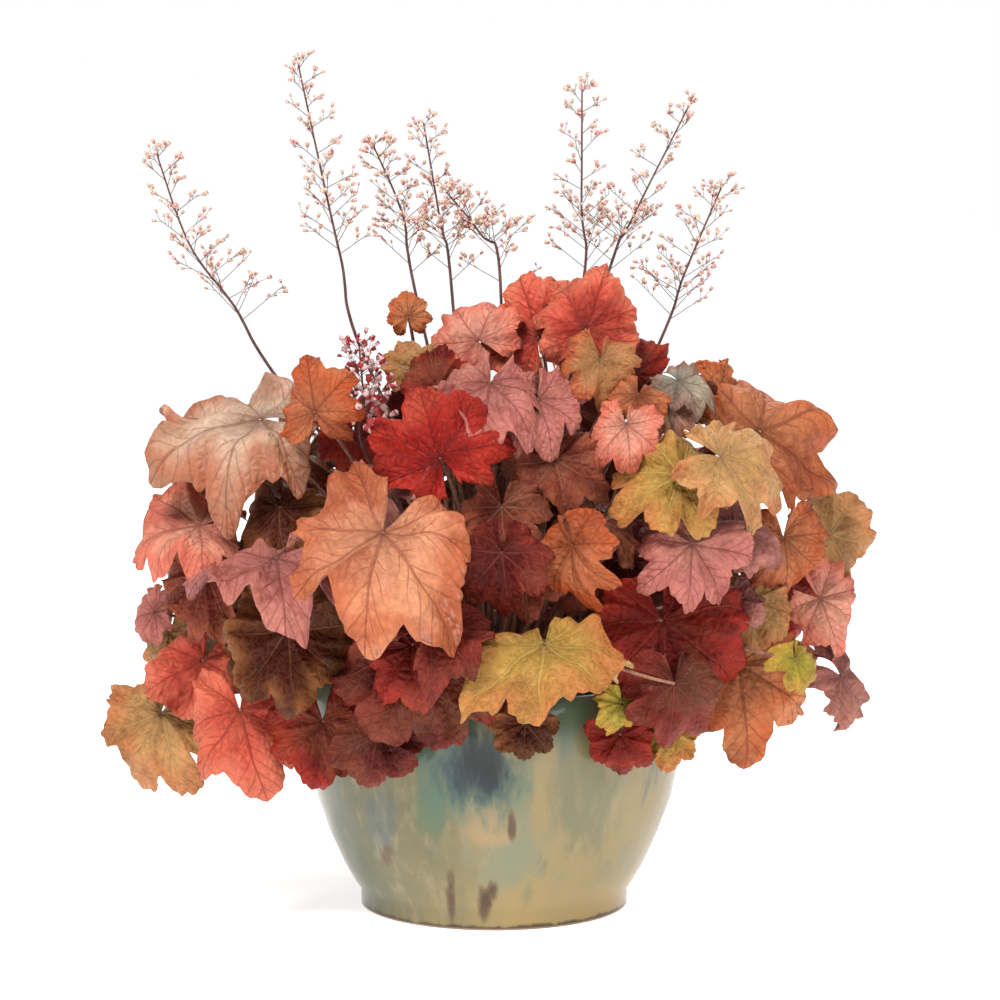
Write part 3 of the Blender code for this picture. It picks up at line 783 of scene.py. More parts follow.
def settle_all(crown, blocked):
    """Places for the leaves in the two tables, and everything that is placed by then."""
    poses = [(leaf, front_pose(leaf)) for leaf in LEAVES]
    poses += [(full_leaf(leaf), rear_pose(leaf)) for leaf in REAR_LEAVES]
    found = []
    for number, (leaf, pose) in enumerate(poses):
        placed = settle(leaf, number, pose, crown, (blocked, CLEARANCE), (blocked, PETIOLE_CLEARANCE))
        if placed is None:
            raise ValueError(f"{leaf.name} finds no room")
        found.append(placed)
        blocked = join_shapes(blocked, blade_shape(placed, 0), petiole_shape(placed, 0))
    return found, blocked


def smooth_route(points, steps):
    """A Catmull-Rom curve through the points, with a number of steps between each two."""
    padded = [points[0], *points, points[-1]]
    route = []
    for index in range(1, len(points)):
        before, start, end, after = padded[index - 1:index + 3]
        for step in range(steps):
            route.append(catmull(before, start, end, after, step / steps))
    route.append(points[-1])
    return route


def catmull(before, start, end, after, share):
    square = share * share
    cube = square * share
    return 0.5 * (2 * start + (end - before) * share
                  + (2 * before - 5 * start + 4 * end - after) * square
                  + (3 * start - before - 3 * end + after) * cube)


def stalk_route(stalk, crown):
    seen = [seen_at(across, up, stalk.out) for across, up in stalk.places]
    target = Vector((seen[0].x * SCAPE_ROOT_SHARE, seen[0].y * SCAPE_ROOT_SHARE, seen[0].z))
    root, facing = crown.take(target)
    collar = root + facing * COLLAR * MM
    route = smooth_route([collar, collar + facing * SCAPE_RISE * MM, *seen], SCAPE_STEPS)
    return [root, *route], facing


def panicle_place(stalk, route, share):
    """A place on the scape, share of the way up its panicle."""
    flowered = [place for place in route if (place - route[-1]).length < stalk.panicle * MM]
    position = share * (len(flowered) - 1)
    index = min(int(position), len(flowered) - 2)
    return flowered[index].lerp(flowered[index + 1], position - index)


def panicle_shapes(stalk, route):
    """Side branches that spiral up the panicle, each a thin spindle that swells to a bud."""
    shapes = []
    for number in range(stalk.branches):
        share = number / stalk.branches
        centre = panicle_place(stalk, route, share)
        angle = number * GOLDEN_ANGLE + FIRST_BRANCH
        outwards = Vector((math.cos(angle), math.sin(angle), BRANCH_RISE)).normalized()
        length = stalk.spread * (1 - BRANCH_SHORTENING * share)
        path = [centre + outwards * station * MM for station in (0, length - BUD_LENGTH / 2, length)]
        radii = (BRANCH_RADIUS, BUD_RADIUS, BRANCH_RADIUS)
        shapes.append(tube(path, radii, BRANCH_SIDES, outwards))
    return shapes


def scape_shape(route, facing):
    return tube(route, tapered(SCAPE_RADIUS, SCAPE_TIP_RADIUS, len(route)), SCAPE_SIDES, facing)


def check_match(placed, stalk_shapes):
    """Stop if a leaf or a stalk isn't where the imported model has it."""
    for name, shape in stalk_shapes + [(one.leaf.name, blade_shape(one, 0)) for one in placed]:
        low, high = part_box(name)
        for axis in range(3):
            values = [place[axis] for place in shape[0]]
            if min(values) < low[axis] - FRAME_MATCH * MM or max(values) > high[axis] + FRAME_MATCH * MM:
                raise RuntimeError(f"{name} isn't where the packed model has it")


class Shader:
    """A short way to write a material's nodes."""

    def __init__(self, name, roughness=0.5, specular=0.5):
        self.material = bpy.data.materials.new(name)
        self.material.use_nodes = True
        self.tree = self.material.node_tree
        self.surface = self.tree.nodes["Principled BSDF"]
        self.surface.inputs["Roughness"].default_value = roughness
        self.surface.inputs["Specular IOR Level"].default_value = specular

    def node(self, kind, settings=None, inputs=None):
        made = self.tree.nodes.new(kind)
        for key, value in (settings or {}).items():
            setattr(made, key, value)
        for key, value in (inputs or {}).items():
            if isinstance(value, bpy.types.NodeSocket):
                self.tree.links.new(value, made.inputs[key])
            else:
                made.inputs[key].default_value = value
        return made

    def math(self, operation, *values):
        return self.node("ShaderNodeMath", {"operation": operation}, dict(enumerate(values))).outputs[0]

    def times(self, first, second):
        return self.math("MULTIPLY", first, second)

    def times_plus(self, value, factor, more):
        return self.math("MULTIPLY_ADD", value, factor, more)

    def mix(self, factor, first, second, blend="MIX"):
        first = first if isinstance(first, bpy.types.NodeSocket) else (*first, 1)
        second = second if isinstance(second, bpy.types.NodeSocket) else (*second, 1)
        settings = {"data_type": "RGBA", "blend_type": blend}
        return self.node("ShaderNodeMix", settings, {0: factor, 6: first, 7: second}).outputs[2]

    def smooth(self, value, low, high):
        """0 below low, 1 above high, and a smooth step between. low may lie above high."""
        settings = {"interpolation_type": "SMOOTHSTEP"}
        return self.node("ShaderNodeMapRange", settings, {0: value, 1: low, 2: high}).outputs[0]

    def position(self, scale=(1, 1, 1)):
        place = self.node("ShaderNodeTexCoord").outputs["Object"]
        return self.node("ShaderNodeMapping", None, {"Vector": place, "Scale": scale}).outputs[0]

    def noise(self, vector, scale, detail=2.0, roughness=0.5):
        inputs = {"Vector": vector, "Scale": scale, "Detail": detail, "Roughness": roughness}
        return self.node("ShaderNodeTexNoise", None, inputs).outputs["Fac"]

    def cells(self, vector, scale, feature="DISTANCE_TO_EDGE"):
        inputs = {"Vector": vector, "Scale": scale}
        return self.node("ShaderNodeTexVoronoi", {"feature": feature}, inputs).outputs["Distance"]

    def colour(self, value):
        self.tree.links.new(value, self.surface.inputs["Base Color"])

    def roughness(self, value):
        self.tree.links.new(value, self.surface.inputs["Roughness"])

    def bump(self, height, strength, distance_mm):
        inputs = {"Height": height, "Strength": strength, "Distance": distance_mm * MM}
        bumped = self.node("ShaderNodeBump", None, inputs)
        self.tree.links.new(bumped.outputs[0], self.surface.inputs["Normal"])


EXTRA_LEAVES = (
    Leaf("leaf_top_mottled", "copper", 68, 340, 55, 52, -80, 5, 28),
    Leaf("leaf_top_small_orange", "orange", -54, 378, 10, 30, 95, -5, 15),
    Leaf("leaf_silver", "silver", 120, 330, 60, 45, -40, 15, 60),
    Leaf("leaf_right_tan", "orange", 145, 330, 40, 45, 80, 45, 10),
    Leaf("leaf_left_tip", "rose", -220, 185, 15, 40, 190, -35, 20),
    Leaf("leaf_plum", "burgundy", -30, 180, 145, 70, 30, 0, 52),
    Leaf("leaf_right_lime", "lime", 194, 150, 125, 38, -70, 42, 20),
    Leaf("leaf_heart_low", "crimson", -5, 205, 70, 85, -90, 0, 20),
    Leaf("leaf_heart_high", "burgundy", -10, 262, 50, 85, -90, 0, 25),
    Leaf("leaf_heart_right", "crimson", 72, 272, 55, 85, -90, 5, 25),
    Leaf("leaf_heart_left", "burgundy", -95, 235, 70, 80, -90, -5, 20),
    Leaf("leaf_heart_back", "brown", 25, 235, 10, 95, -90, 0, 15),
    Leaf("leaf_heart_under", "burgundy", -20, 175, 60, 85, -90, 0, 10),
    Leaf("leaf_left_deep", "russet", -185, 200, 20, 75, -110, -25, 20),
    Leaf("leaf_right_deep", "crimson", 185, 195, 40, 75, -75, 25, 20),
    Leaf("leaf_right_sliver", "mauve", 225, 140, 40, 60, -50, 55, 10),
    Leaf("leaf_right_olive", "olive", 165, 185, 90, 55, -85, 15, 18),
    Leaf("leaf_right_small_mauve", "mauve", 150, 190, 110, 45, -90, 0, 25),
    Leaf("leaf_low_lime", "lime", 82, 122, 135, 36, -90, 35, 10),
    Leaf("leaf_low_olive", "golden", 110, 105, 115, 45, -90, 5, 15),
    Leaf("leaf_low_small_crimson", "crimson", 80, 100, 125, 45, -95, -5, 5),
    Leaf("leaf_low_small_brown", "brown", 20, 108, 135, 42, -90, 0, 10),
    Leaf("leaf_young_upper", "russet", 5, 245, 120, 60, -90, 0, 25, 0.15, 0.1, 0.34),
    Leaf("leaf_young_lower", "russet", 20, 205, 135, 50, -80, 5, 20, 0.15, 0.1, 0.34),
    Leaf("leaf_small_tan", "tan", 110, 315, 70, 40, -60, 10, 45),
    Leaf("leaf_small_copper", "orange", 90, 320, 65, 40, -100, 0, 40),
    Leaf("leaf_small_pink", "salmon", 85, 300, 90, 45, -80, 0, 35),
    Leaf("leaf_upper_crimson", "crimson", -35, 335, 60, 50, 80, 0, 20),
    Leaf("leaf_upper_olive", "olive", -50, 345, 50, 45, 110, -10, 20),
    Leaf("leaf_left_small_crimson", "crimson", -90, 295, 85, 45, -100, -10, 20),
    Leaf("leaf_right_copper", "orange", 185, 225, 75, 60, -80, 22, 14),
    Leaf("leaf_gap_left", "brown", -150, 262, 30, 80, -90, -10, 25),
    Leaf("leaf_gap_right", "mauve", 130, 255, 60, 75, -90, 10, 20),
    Leaf("leaf_gap_low", "crimson", -120, 140, 60, 90, -90, -5, 10),
    Leaf("leaf_upper_mottled", "copper", -25, 350, 40, 40, 60, 0, 30),
    Leaf("leaf_pink_spot", "mauve", -20, 312, 100, 34, -60, 0, 30),
    Leaf("leaf_heart_front", "burgundy", 5, 215, 110, 60, -90, 0, 20),
    Leaf("leaf_low_small_mauve", "burgundy", -75, 100, 130, 60, -100, -5, 10),
)


class Palette(NamedTuple):
    """A leaf's colours, as linear values: its heart, its margin, patches, veins and underside."""

    heart: tuple
    margin: tuple
    patch: tuple
    vein: tuple
    under: tuple
    vein_share: float = 0.55


class GlazePatch(NamedTuple):
    """A run or a pool of another colour in the glaze, or a painted shadow on it, in millimetres, seen from
    the front.
    """

    across: float
    up: float
    half_width: float
    half_height: float
    colour: tuple


PALETTES = {
    "coral": Palette((0.53, 0.072, 0.043), (0.60, 0.15, 0.085), (0.27, 0.025, 0.016), (0.20, 0.02, 0.014),
                     (0.34, 0.09, 0.07)),
    "red": Palette((0.29, 0.012, 0.008), (0.40, 0.03, 0.018), (0.13, 0.005, 0.004), (0.12, 0.007, 0.006),
                   (0.24, 0.04, 0.03)),
    "crimson": Palette((0.16, 0.009, 0.005), (0.30, 0.022, 0.012), (0.055, 0.003, 0.002),
                       (0.24, 0.03, 0.018), (0.18, 0.045, 0.04)),
    "burgundy": Palette((0.10, 0.009, 0.006), (0.20, 0.026, 0.016), (0.035, 0.003, 0.002),
                        (0.22, 0.045, 0.034), (0.18, 0.055, 0.055)),
    "rose": Palette((0.42, 0.14, 0.115), (0.46, 0.15, 0.12), (0.20, 0.04, 0.03), (0.17, 0.03, 0.025),
                    (0.36, 0.14, 0.13)),
    "mauve": Palette((0.28, 0.09, 0.075), (0.40, 0.15, 0.12), (0.10, 0.022, 0.017), (0.40, 0.17, 0.14),
                     (0.26, 0.11, 0.11)),
    "salmon": Palette((0.62, 0.26, 0.18), (0.62, 0.16, 0.10), (0.40, 0.09, 0.06), (0.28, 0.045, 0.03),
                      (0.40, 0.16, 0.13)),
    "peach": Palette((0.56, 0.225, 0.12), (0.47, 0.13, 0.055), (0.32, 0.08, 0.034), (0.24, 0.045, 0.024),
                     (0.42, 0.17, 0.12)),
    "orange": Palette((0.44, 0.15, 0.062), (0.46, 0.11, 0.036), (0.22, 0.05, 0.02), (0.18, 0.03, 0.013),
                      (0.34, 0.12, 0.085)),
    "rust": Palette((0.36, 0.09, 0.034), (0.40, 0.075, 0.022), (0.17, 0.03, 0.012), (0.18, 0.03, 0.013),
                    (0.34, 0.12, 0.085)),
    "tan": Palette((0.56, 0.38, 0.27), (0.40, 0.13, 0.065), (0.34, 0.17, 0.10), (0.22, 0.075, 0.045),
                   (0.38, 0.20, 0.14)),
    # Brown: its near-black heart is partly the leaf's own dark maroon and partly painted shade; its margin
    # is the leaf's olive-brown
    "brown": Palette((0.075, 0.011, 0.005), (0.23, 0.08, 0.024), (0.032, 0.005, 0.003), (0.22, 0.085, 0.035),
                     (0.17, 0.065, 0.045)),
    "russet": Palette((0.17, 0.028, 0.015), (0.30, 0.07, 0.034), (0.07, 0.010, 0.006), (0.34, 0.12, 0.08),
                      (0.22, 0.07, 0.055)),
    "copper": Palette((0.36, 0.15, 0.055), (0.46, 0.10, 0.04), (0.17, 0.055, 0.022), (0.38, 0.22, 0.09),
                      (0.30, 0.13, 0.08)),
    "olive": Palette((0.42, 0.22, 0.08), (0.46, 0.16, 0.06), (0.24, 0.10, 0.035), (0.46, 0.28, 0.11),
                     (0.30, 0.18, 0.09)),
    "golden": Palette((0.42, 0.24, 0.05), (0.46, 0.15, 0.045), (0.28, 0.13, 0.03), (0.54, 0.37, 0.11),
                      (0.36, 0.24, 0.10)),
    "lime": Palette((0.34, 0.27, 0.03), (0.42, 0.22, 0.035), (0.22, 0.14, 0.02), (0.48, 0.39, 0.09),
                    (0.34, 0.30, 0.10)),
    "silver": Palette((0.30, 0.27, 0.20), (0.28, 0.13, 0.09), (0.15, 0.09, 0.065), (0.14, 0.05, 0.04),
                      (0.30, 0.17, 0.15)),
}

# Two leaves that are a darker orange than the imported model's others of their tone
DARKER = {"leaf_left_orange": "rust", "leaf_orange_edge": "rust"}

# The slots of the three rarest tones, which have none of their own in the record
SLOT_TONES = {"lime": "golden", "silver": "olive", "copper": "orange"}

# Patches of other colours in the glaze at the front, and a painted shadow below the rim
GLAZE_AND_SHADOW_PATCHES = (
    GlazePatch(55, 85, 22, 36, (0.20, 0.19, 0.10)),
    GlazePatch(12, 52, 20, 22, (0.24, 0.24, 0.14)),
    GlazePatch(-40, 82, 12, 20, (0.12, 0.17, 0.085)),
    GlazePatch(-69, 68, 10, 22, (0.11, 0.13, 0.11)),
    GlazePatch(-66, 46, 5, 8, (0.15, 0.08, 0.035)),
    GlazePatch(-4, 72, 17, 16, (0.40, 0.27, 0.13)),
    GlazePatch(-14, 104, 34, 32, (0.09, 0.17, 0.12)),
    GlazePatch(-10, 108, 24, 26, (0.025, 0.05, 0.065)),
    # Near-black: painted shadow of the leaves over the rim, laid on the teal pool
    GlazePatch(-8, 114, 17, 22, (0.008, 0.011, 0.011)),
    GlazePatch(-27, 24, 3.2, 18, (0.11, 0.05, 0.02)),
    GlazePatch(-6, 18, 4.6, 13, (0.08, 0.035, 0.014)),
    GlazePatch(-1, 28, 4, 7, (0.08, 0.035, 0.014)),
    GlazePatch(11, 72, 2.6, 10, (0.12, 0.07, 0.035)),
)


def leaf_material(tone):
    """Blade colours from heart to margin, palmate veins with side veins, puckered tissue between, and
    painted shade that darkens the colour towards the hub and in the valleys between the lobes.
    """
    palette = PALETTES[tone]
    shader = Shader("leaf_" + tone + "_look", roughness=0.45, specular=0.14)
    shape = shader.node("ShaderNodeAttribute", {"attribute_name": "leaf"}).outputs["Vector"]
    parts = shader.node("ShaderNodeSeparateXYZ", None, {0: shape}).outputs
    lobes, share, under = parts[0], parts[1], parts[2]
    place = shader.position()
    from_vein = shader.math("PINGPONG", lobes, 0.5)
    across = shader.times(from_vein, shader.times(share, math.radians(LOBE_SPACING)))
    taper = shader.math("SUBTRACT", VEIN_END, share)
    main_vein = shader.smooth(shader.math("DIVIDE", across, taper), *MAIN_VEIN_EDGE)
    bent = shader.times_plus(shader.noise(place, *VEIN_GRAIN), VEIN_WANDER, share)
    along = shader.times_plus(across, SIDE_VEIN_SLANT, bent)
    side_line = shader.smooth(shader.math("PINGPONG", along, SIDE_VEIN_SPACING), *SIDE_VEIN_EDGE)
    side_vein = shader.times(side_line, shader.smooth(from_vein, *SIDE_VEIN_REACH))
    net = shader.cells(place, NET_SCALE)
    net_vein = shader.smooth(net, *NET_EDGE)
    veins = shader.math("MAXIMUM", main_vein, shader.times(side_vein, SIDE_VEIN_SHARE))
    all_veins = shader.math("MAXIMUM", veins, shader.times(net_vein, NET_SHARE))
    outward = shader.times_plus(shader.noise(place, *MARGIN_GRAIN), MARGIN_WANDER, share)
    blade = shader.mix(shader.smooth(outward, *MARGIN_EDGE), palette.heart, palette.margin)
    patches = shader.smooth(shader.noise(place, *PATCH_GRAIN), *PATCH_EDGE)
    blade = shader.mix(shader.times(patches, PATCH_SHARE), blade, palette.patch)
    fresh = []
    for tint, part in zip(FRESH, palette.heart):
        fresh.append(FRESH_SHARE * tint + (1 - FRESH_SHARE) * FRESH_GAIN * part)
    clouds = shader.smooth(shader.noise(shader.position(CLOUD_STRETCH), *CLOUD_GRAIN), *CLOUD_EDGE)
    cloudy = min(CLOUD_LIMIT, CLOUD_SHARE + CLOUD_GAIN * palette.heart[0])
    blade = shader.mix(shader.times(clouds, cloudy), blade, fresh)
    blade = shader.mix(shader.times(all_veins, palette.vein_share), blade, palette.vein)
    below = shader.mix(shader.times(all_veins, UNDER_VEIN_SHARE), palette.under, palette.vein)
    blade = shader.mix(under, blade, below)
    mottle = shader.times_plus(shader.noise(place, *MOTTLE_GRAIN), *MOTTLE_SPAN)
    # Painted shade: the colour darkens in the valleys between lobes and towards the hub, times the fine
    # mottle
    valley = shader.times(shader.smooth(from_vein, *VALLEY_WIDTH), shader.smooth(share, *VALLEY_REACH))
    shade = shader.times_plus(valley, VALLEY_PAINTED_SHADE, shader.smooth(share, *HEART_PAINTED_SHADE))
    light = shader.times(mottle, shader.times_plus(shade, *PAINTED_SHADE_SPAN))
    grey = shader.node("ShaderNodeCombineColor", None, {0: light, 1: light, 2: light}).outputs[0]
    shader.colour(shader.mix(1.0, blade, grey, "MULTIPLY"))
    shader.roughness(shader.times_plus(shader.noise(place, *SHEEN_GRAIN), *SHEEN_SPAN))
    shader.bump(shader.times_plus(veins, PUCKER_VEINS, shader.smooth(net, *PUCKER_EDGE)), *LEAF_BUMP)
    return shader.material


def stem_material(name, colour, dark):
    """A petiole or scape: fine hairs and small darker streaks along it."""
    shader = Shader(name, specular=0.35)
    streaks = shader.noise(shader.position(STREAK_STRETCH), *STREAK_GRAIN)
    shader.colour(shader.mix(shader.smooth(streaks, *STREAK_EDGE), colour, dark))
    shader.bump(shader.noise(shader.position(), *HAIR_GRAIN), *HAIR_BUMP)
    return shader.material


def bud_material():
    """Plump buds: some deep red, some blush white."""
    shader = Shader("bud_look", specular=0.3)
    tone = shader.noise(shader.position(), scale=150, detail=1)
    shader.colour(shader.mix(shader.smooth(tone, 0.47, 0.55), BUD_RED, BUD_WHITE))
    return shader.material


def flower_material():
    """Small bells that pale from a rosy base to their tips."""
    shader = Shader("flower_look", specular=0.3)
    tip = shader.node("ShaderNodeAttribute", {"attribute_name": "tip"}).outputs["Fac"]
    tone = shader.noise(shader.position(), scale=120, detail=1)
    base = shader.mix(shader.smooth(tone, 0.4, 0.6), *BELL_BASES)
    pale = shader.mix(shader.smooth(tone, 0.35, 0.65), *BELL_TIPS)
    shader.colour(shader.mix(shader.smooth(tip, 0.1, 0.8), base, pale))
    return shader.material


def soil_material():
    """Dark grainy mix with pale specks of perlite."""
    shader = Shader("soil_look", roughness=0.95, specular=0.2)
    place = shader.position()
    grain = shader.noise(place, scale=300, detail=6, roughness=0.7)
    brown = shader.mix(shader.smooth(grain, 0.35, 0.7), *SOIL_BROWNS)
    perlite = shader.smooth(shader.cells(place, 110, "F1"), 0.16, 0.10)
    shader.colour(shader.mix(shader.times(perlite, 0.5), brown, PERLITE))
    shader.bump(grain, strength=0.8, distance_mm=1.5)
    return shader.material


def crown_material():
    """Scaly bark, darker in its cracks."""
    shader = Shader("crown_look", roughness=0.8, specular=0.25)
    place = shader.position()
    scales = shader.cells(place, 160)
    bark = shader.mix(shader.noise(place, scale=120, detail=4), *BARKS)
    shader.colour(shader.mix(shader.smooth(scales, 0.12, 0.0), bark, CRACK))
    shader.bump(scales, strength=0.8, distance_mm=1.2)
    return shader.material


def glaze_material():
    """A runny glaze: cream, sage and tan streaks, and at the front a teal pool below the rim whose middle is
    darkened to near black by painted shadow of the leaves over the rim. Heights and distances are in
    metres here."""
    shader = Shader("pot_glaze_look", roughness=0.16)
    place = shader.position()
    split = shader.node("ShaderNodeSeparateXYZ", None, {0: place}).outputs
    across, depth, height = split[0], split[1], split[2]
    runs = shader.noise(shader.position(RUN_STRETCH), *RUN_GRAIN)
    wisps = shader.noise(shader.position(WISP_STRETCH), *WISP_GRAIN)
    cloud = shader.noise(place, scale=16, detail=4)
    side = shader.smooth(shader.times_plus(cloud, 0.12, across), -0.04, 0.10)
    body = shader.mix(side, GLAZE_GREEN, GLAZE_OCHRE)
    body = shader.mix(shader.smooth(runs, 0.50, 0.70), body, GLAZE_CREAM)
    body = shader.mix(shader.times(shader.smooth(wisps, 0.5, 0.72), 0.6), body, GLAZE_WISP)
    body = shader.mix(shader.times(shader.smooth(runs, 0.46, 0.34), 0.8), body, GLAZE_SAGE)
    low = shader.times(shader.smooth(height, 0.045, 0.005), side)
    body = shader.mix(shader.times(low, 0.8), body, GLAZE_LOW)
    rim_run = shader.smooth(shader.times_plus(runs, 0.11, height), 0.168, 0.20)
    body = shader.mix(rim_run, body, GLAZE_RIM)
    front = shader.smooth(depth, 0.0, -0.03)
    for patch in GLAZE_AND_SHADOW_PATCHES:
        pool = shader.times(glaze_patch(shader, across, height, wisps, patch), front)
        body = shader.mix(pool, body, patch.colour)
    foot = shader.smooth(shader.times_plus(wisps, 0.006, height), 0.0065, 0.0045)
    body = shader.mix(shader.times(foot, 0.9), body, FOOT_LINE)
    body = shader.mix(shader.smooth(height, 0.0015, 0.0005), body, BARE_CLAY)
    specks = shader.smooth(shader.cells(place, 240, "F1"), 0.16, 0.06)
    body = shader.mix(shader.times(specks, 0.3), body, GLAZE_SPECK)
    shader.colour(body)
    shader.roughness(shader.times_plus(wisps, 0.18, 0.10))
    shader.bump(wisps, strength=0.15, distance_mm=0.6)
    return shader.material


def glaze_patch(shader, across, height, wisps, patch):
    """How much of a patch's colour a place on the front has, its edge drawn out by the glaze's run."""
    wide, tall = patch.half_width, patch.half_height
    sideways = shader.times_plus(across, 1 / (wide * MM), -patch.across / wide)
    upwards = shader.times_plus(height, 1 / (tall * MM), -patch.up / tall)
    square = shader.times_plus(sideways, sideways, shader.times(upwards, upwards))
    return shader.smooth(shader.times_plus(wisps, 3.2, square), 3.1, 1.5)


def new_piece(name, places, faces, coat, slot, values=None):
    """A piece that rides on the plant, from places and faces, with a value at each place if given."""
    mesh = bpy.data.meshes.new(name)
    mesh.from_pydata(places, [], faces)
    mesh.materials.append(coat)
    mesh.shade_smooth()
    if values:
        key, kind, numbers = values
        layer = mesh.attributes.new(key, kind, "POINT")
        layer.data.foreach_set("vector" if kind == "FLOAT_VECTOR" else "value", numbers)
    piece = bpy.data.objects.new(name, mesh)
    bpy.context.scene.collection.objects.link(piece)
    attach(piece, "root")
    return piece


def varied(pattern, theta, number):
    """How strongly a shape shows at theta degrees from the midrib of a leaf."""
    middle, swing, pace, phase = pattern
    return middle + swing * math.sin(pace * theta / LOBE_SPACING + phase * number)


def fine_place(placed, theta, share):
    """A place on a fine blade: the plain blade's, with teeth, pleats, vein grooves, a curled margin, a
    fold along the midrib, ruffles and an uneven buckle."""
    leaf, number = placed.leaf, placed.number
    reach = leaf.width * BLADE_REACH
    tooth = 1 - abs(math.cos(math.pi * theta / TOOTH_SPACING))
    inset = TOOTH_DEPTH * varied(TOOTH_PATTERN, theta, number) * tooth * share ** TOOTH_GROWTH
    place = blade_place(leaf, number, theta, share * (1 - inset), 0)
    notch = 1 - abs(math.cos(math.pi * theta / LOBE_SPACING))
    from_vein = abs((theta / LOBE_SPACING + 0.5) % 1 - 0.5)
    off_vein = from_vein * math.radians(LOBE_SPACING) * share * reach
    groove = GROOVE * math.exp(-(off_vein / GROOVE_WIDTH) ** 2)
    lift = PLEAT * reach * share * notch
    lift -= groove * min(1, GROOVE_START * share) * (GROOVE_END - share)
    lift -= CURL * reach * share ** CURL_GROWTH * (1 - notch) * varied(CURL_PATTERN, theta, number)
    lift -= FOLD * abs(place.x) / MM * varied(FOLD_PATTERN, theta, number)
    lift -= ROLL * reach * share ** ROLL_GROWTH * max(0, varied(ROLL_PATTERN, theta, number))
    wave = math.sin(math.tau * theta / RUFFLE_SPACING + RUFFLE_PHASE * number)
    lift += RUFFLE * reach * share ** RUFFLE_GROWTH * wave * varied(RUFFLE_PATTERN, theta, number)
    grain = place / MM * BUCKLE_GRAIN + Vector((number * BUCKLE_STEP, 0, 0))
    buckle = noise.noise_vector(grain) * BUCKLE * reach * share
    buckle.x *= BUCKLE_SIDEWAYS
    buckle.y *= BUCKLE_SIDEWAYS
    buckle.z += lift
    return place + buckle * MM


def fine_blade(placed, ring_count, angle_count):
    """A closed fine blade, and for each place its lobe coordinate, its share and its side."""
    rings = []
    for index in range(ring_count + 1):
        rings.append(INNERMOST_RING + (1 - INNERMOST_RING) * (index / ring_count) ** RING_POWER)
    angles = [BASE_ANGLE * (2 * index / angle_count - 1) for index in range(angle_count + 1)]
    grid = [[fine_place(placed, theta, share) for theta in angles] for share in rings]
    half = Vector((0, 0, FINE_THICKNESS / 2 * MM))
    places = []
    values = []
    for side, under in ((half, 0), (-half, 1)):
        for share, ring in zip(rings, grid):
            for theta, place in zip(angles, ring):
                places.append(placed.hub + placed.axes @ (place + side))
                values += (theta / LOBE_SPACING, share, under)
    count = len(angles)
    layer = count * len(rings)
    faces = []
    for ring in range(len(rings) - 1):
        for step in range(count - 1):
            here = ring * count + step
            upper = (here, here + count, here + count + 1, here + 1)
            faces.append(upper)
            faces.append(tuple(layer + index for index in reversed(upper)))
    inner = list(range(count))
    outer = list(range(layer - count, layer))
    left = [ring * count for ring in range(len(rings))]
    right = [ring * count + count - 1 for ring in range(len(rings))]
    edge = left + outer[1:] + right[-2::-1] + inner[-2:0:-1]
    for here, there in zip(edge, edge[1:] + edge[:1]):
        faces.append((here, here + layer, there + layer, there))
    return places, faces, values


def fine_petiole(placed):
    path = petiole_path(placed, FINE_PETIOLE_STATIONS)
    last = len(path) - 1
    radii = []
    for index in range(last + 1):
        share = index / last
        sheath = 1 + (SHEATH - 1) * max(0, 1 - share / SHEATH_SHARE) ** 2
        radii.append(PETIOLE_RADIUS * (1 - FINE_TAPER * share) * sheath)
    return tube(path, radii, FINE_PETIOLE_SIDES, placed.facing)


def make_leaf(placed, coats, stem_coat, in_model):
    name, tone = placed.leaf[:2]
    slot = "leaf_" + SLOT_TONES.get(tone, tone)
    detail = (DEEP_RINGS, DEEP_ANGLES) if name.startswith(INNER_NAME) else (FINE_RINGS, FINE_ANGLES)
    places, faces, values = fine_blade(placed, *detail)
    coat = coats[DARKER.get(name, tone)]
    blade = new_piece(name + "_blade", places, faces, coat, slot, ("leaf", "FLOAT_VECTOR", values))
    petiole = new_piece(name + "_petiole", *fine_petiole(placed), stem_coat, slot)
    if in_model:
        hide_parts(name)
        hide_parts(name)


def filler(draw, number):
    """A leaf deeper in the mound, its face outwards and its tip down the slope."""
    around = draw.uniform(0, math.tau)
    slope = draw.uniform(*FILLER_RISE) * MOUND_TOP
    depth = draw.uniform(*FILLER_DEPTH)
    outwards = Vector((math.cos(around), math.sin(around), 0))
    level = outwards * MOUND_RADIUS * math.cos(slope) * depth
    height = MOUND_BASE + MOUND_RISE * math.sin(slope) - (1 - depth) * FILLER_SINK
    normal = (outwards * math.cos(slope) + UP * math.sin(slope + FILLER_LOOK_UP)).normalized()
    tip = outwards * FILLER_TIP_OUT - UP + outwards.cross(UP) * draw.uniform(*FILLER_LEAN)
    # Front inner leaves take dark tones: partly their own colour, partly painted shade deep in the mound
    tone = draw.choice(REAR_TONES if outwards.y > 0 else DEEP_TONES)
    width = draw.uniform(*FILLER_WIDTH)
    cup = draw.uniform(*FILLER_CUP)
    droop = draw.uniform(*FILLER_DROOP)
    lobing = draw.uniform(*FILLER_LOBING)
    leaf = Leaf(f"{INNER_NAME}_{number:02d}", tone, 0, 0, 0, width, 0, 0, 0, cup, droop, lobing)
    return leaf, ((level + UP * height) * MM, axes_from(normal, tip), normal)


def depth_of(hub):
    """How far out in the mound a hub lies: 0 at its heart and 1 at its face."""
    height = max(hub.z / MM - MOUND_BASE, 0) / MOUND_RISE
    level = Vector((hub.x, hub.y)).length / MM / MOUND_RADIUS
    return math.hypot(level, height)


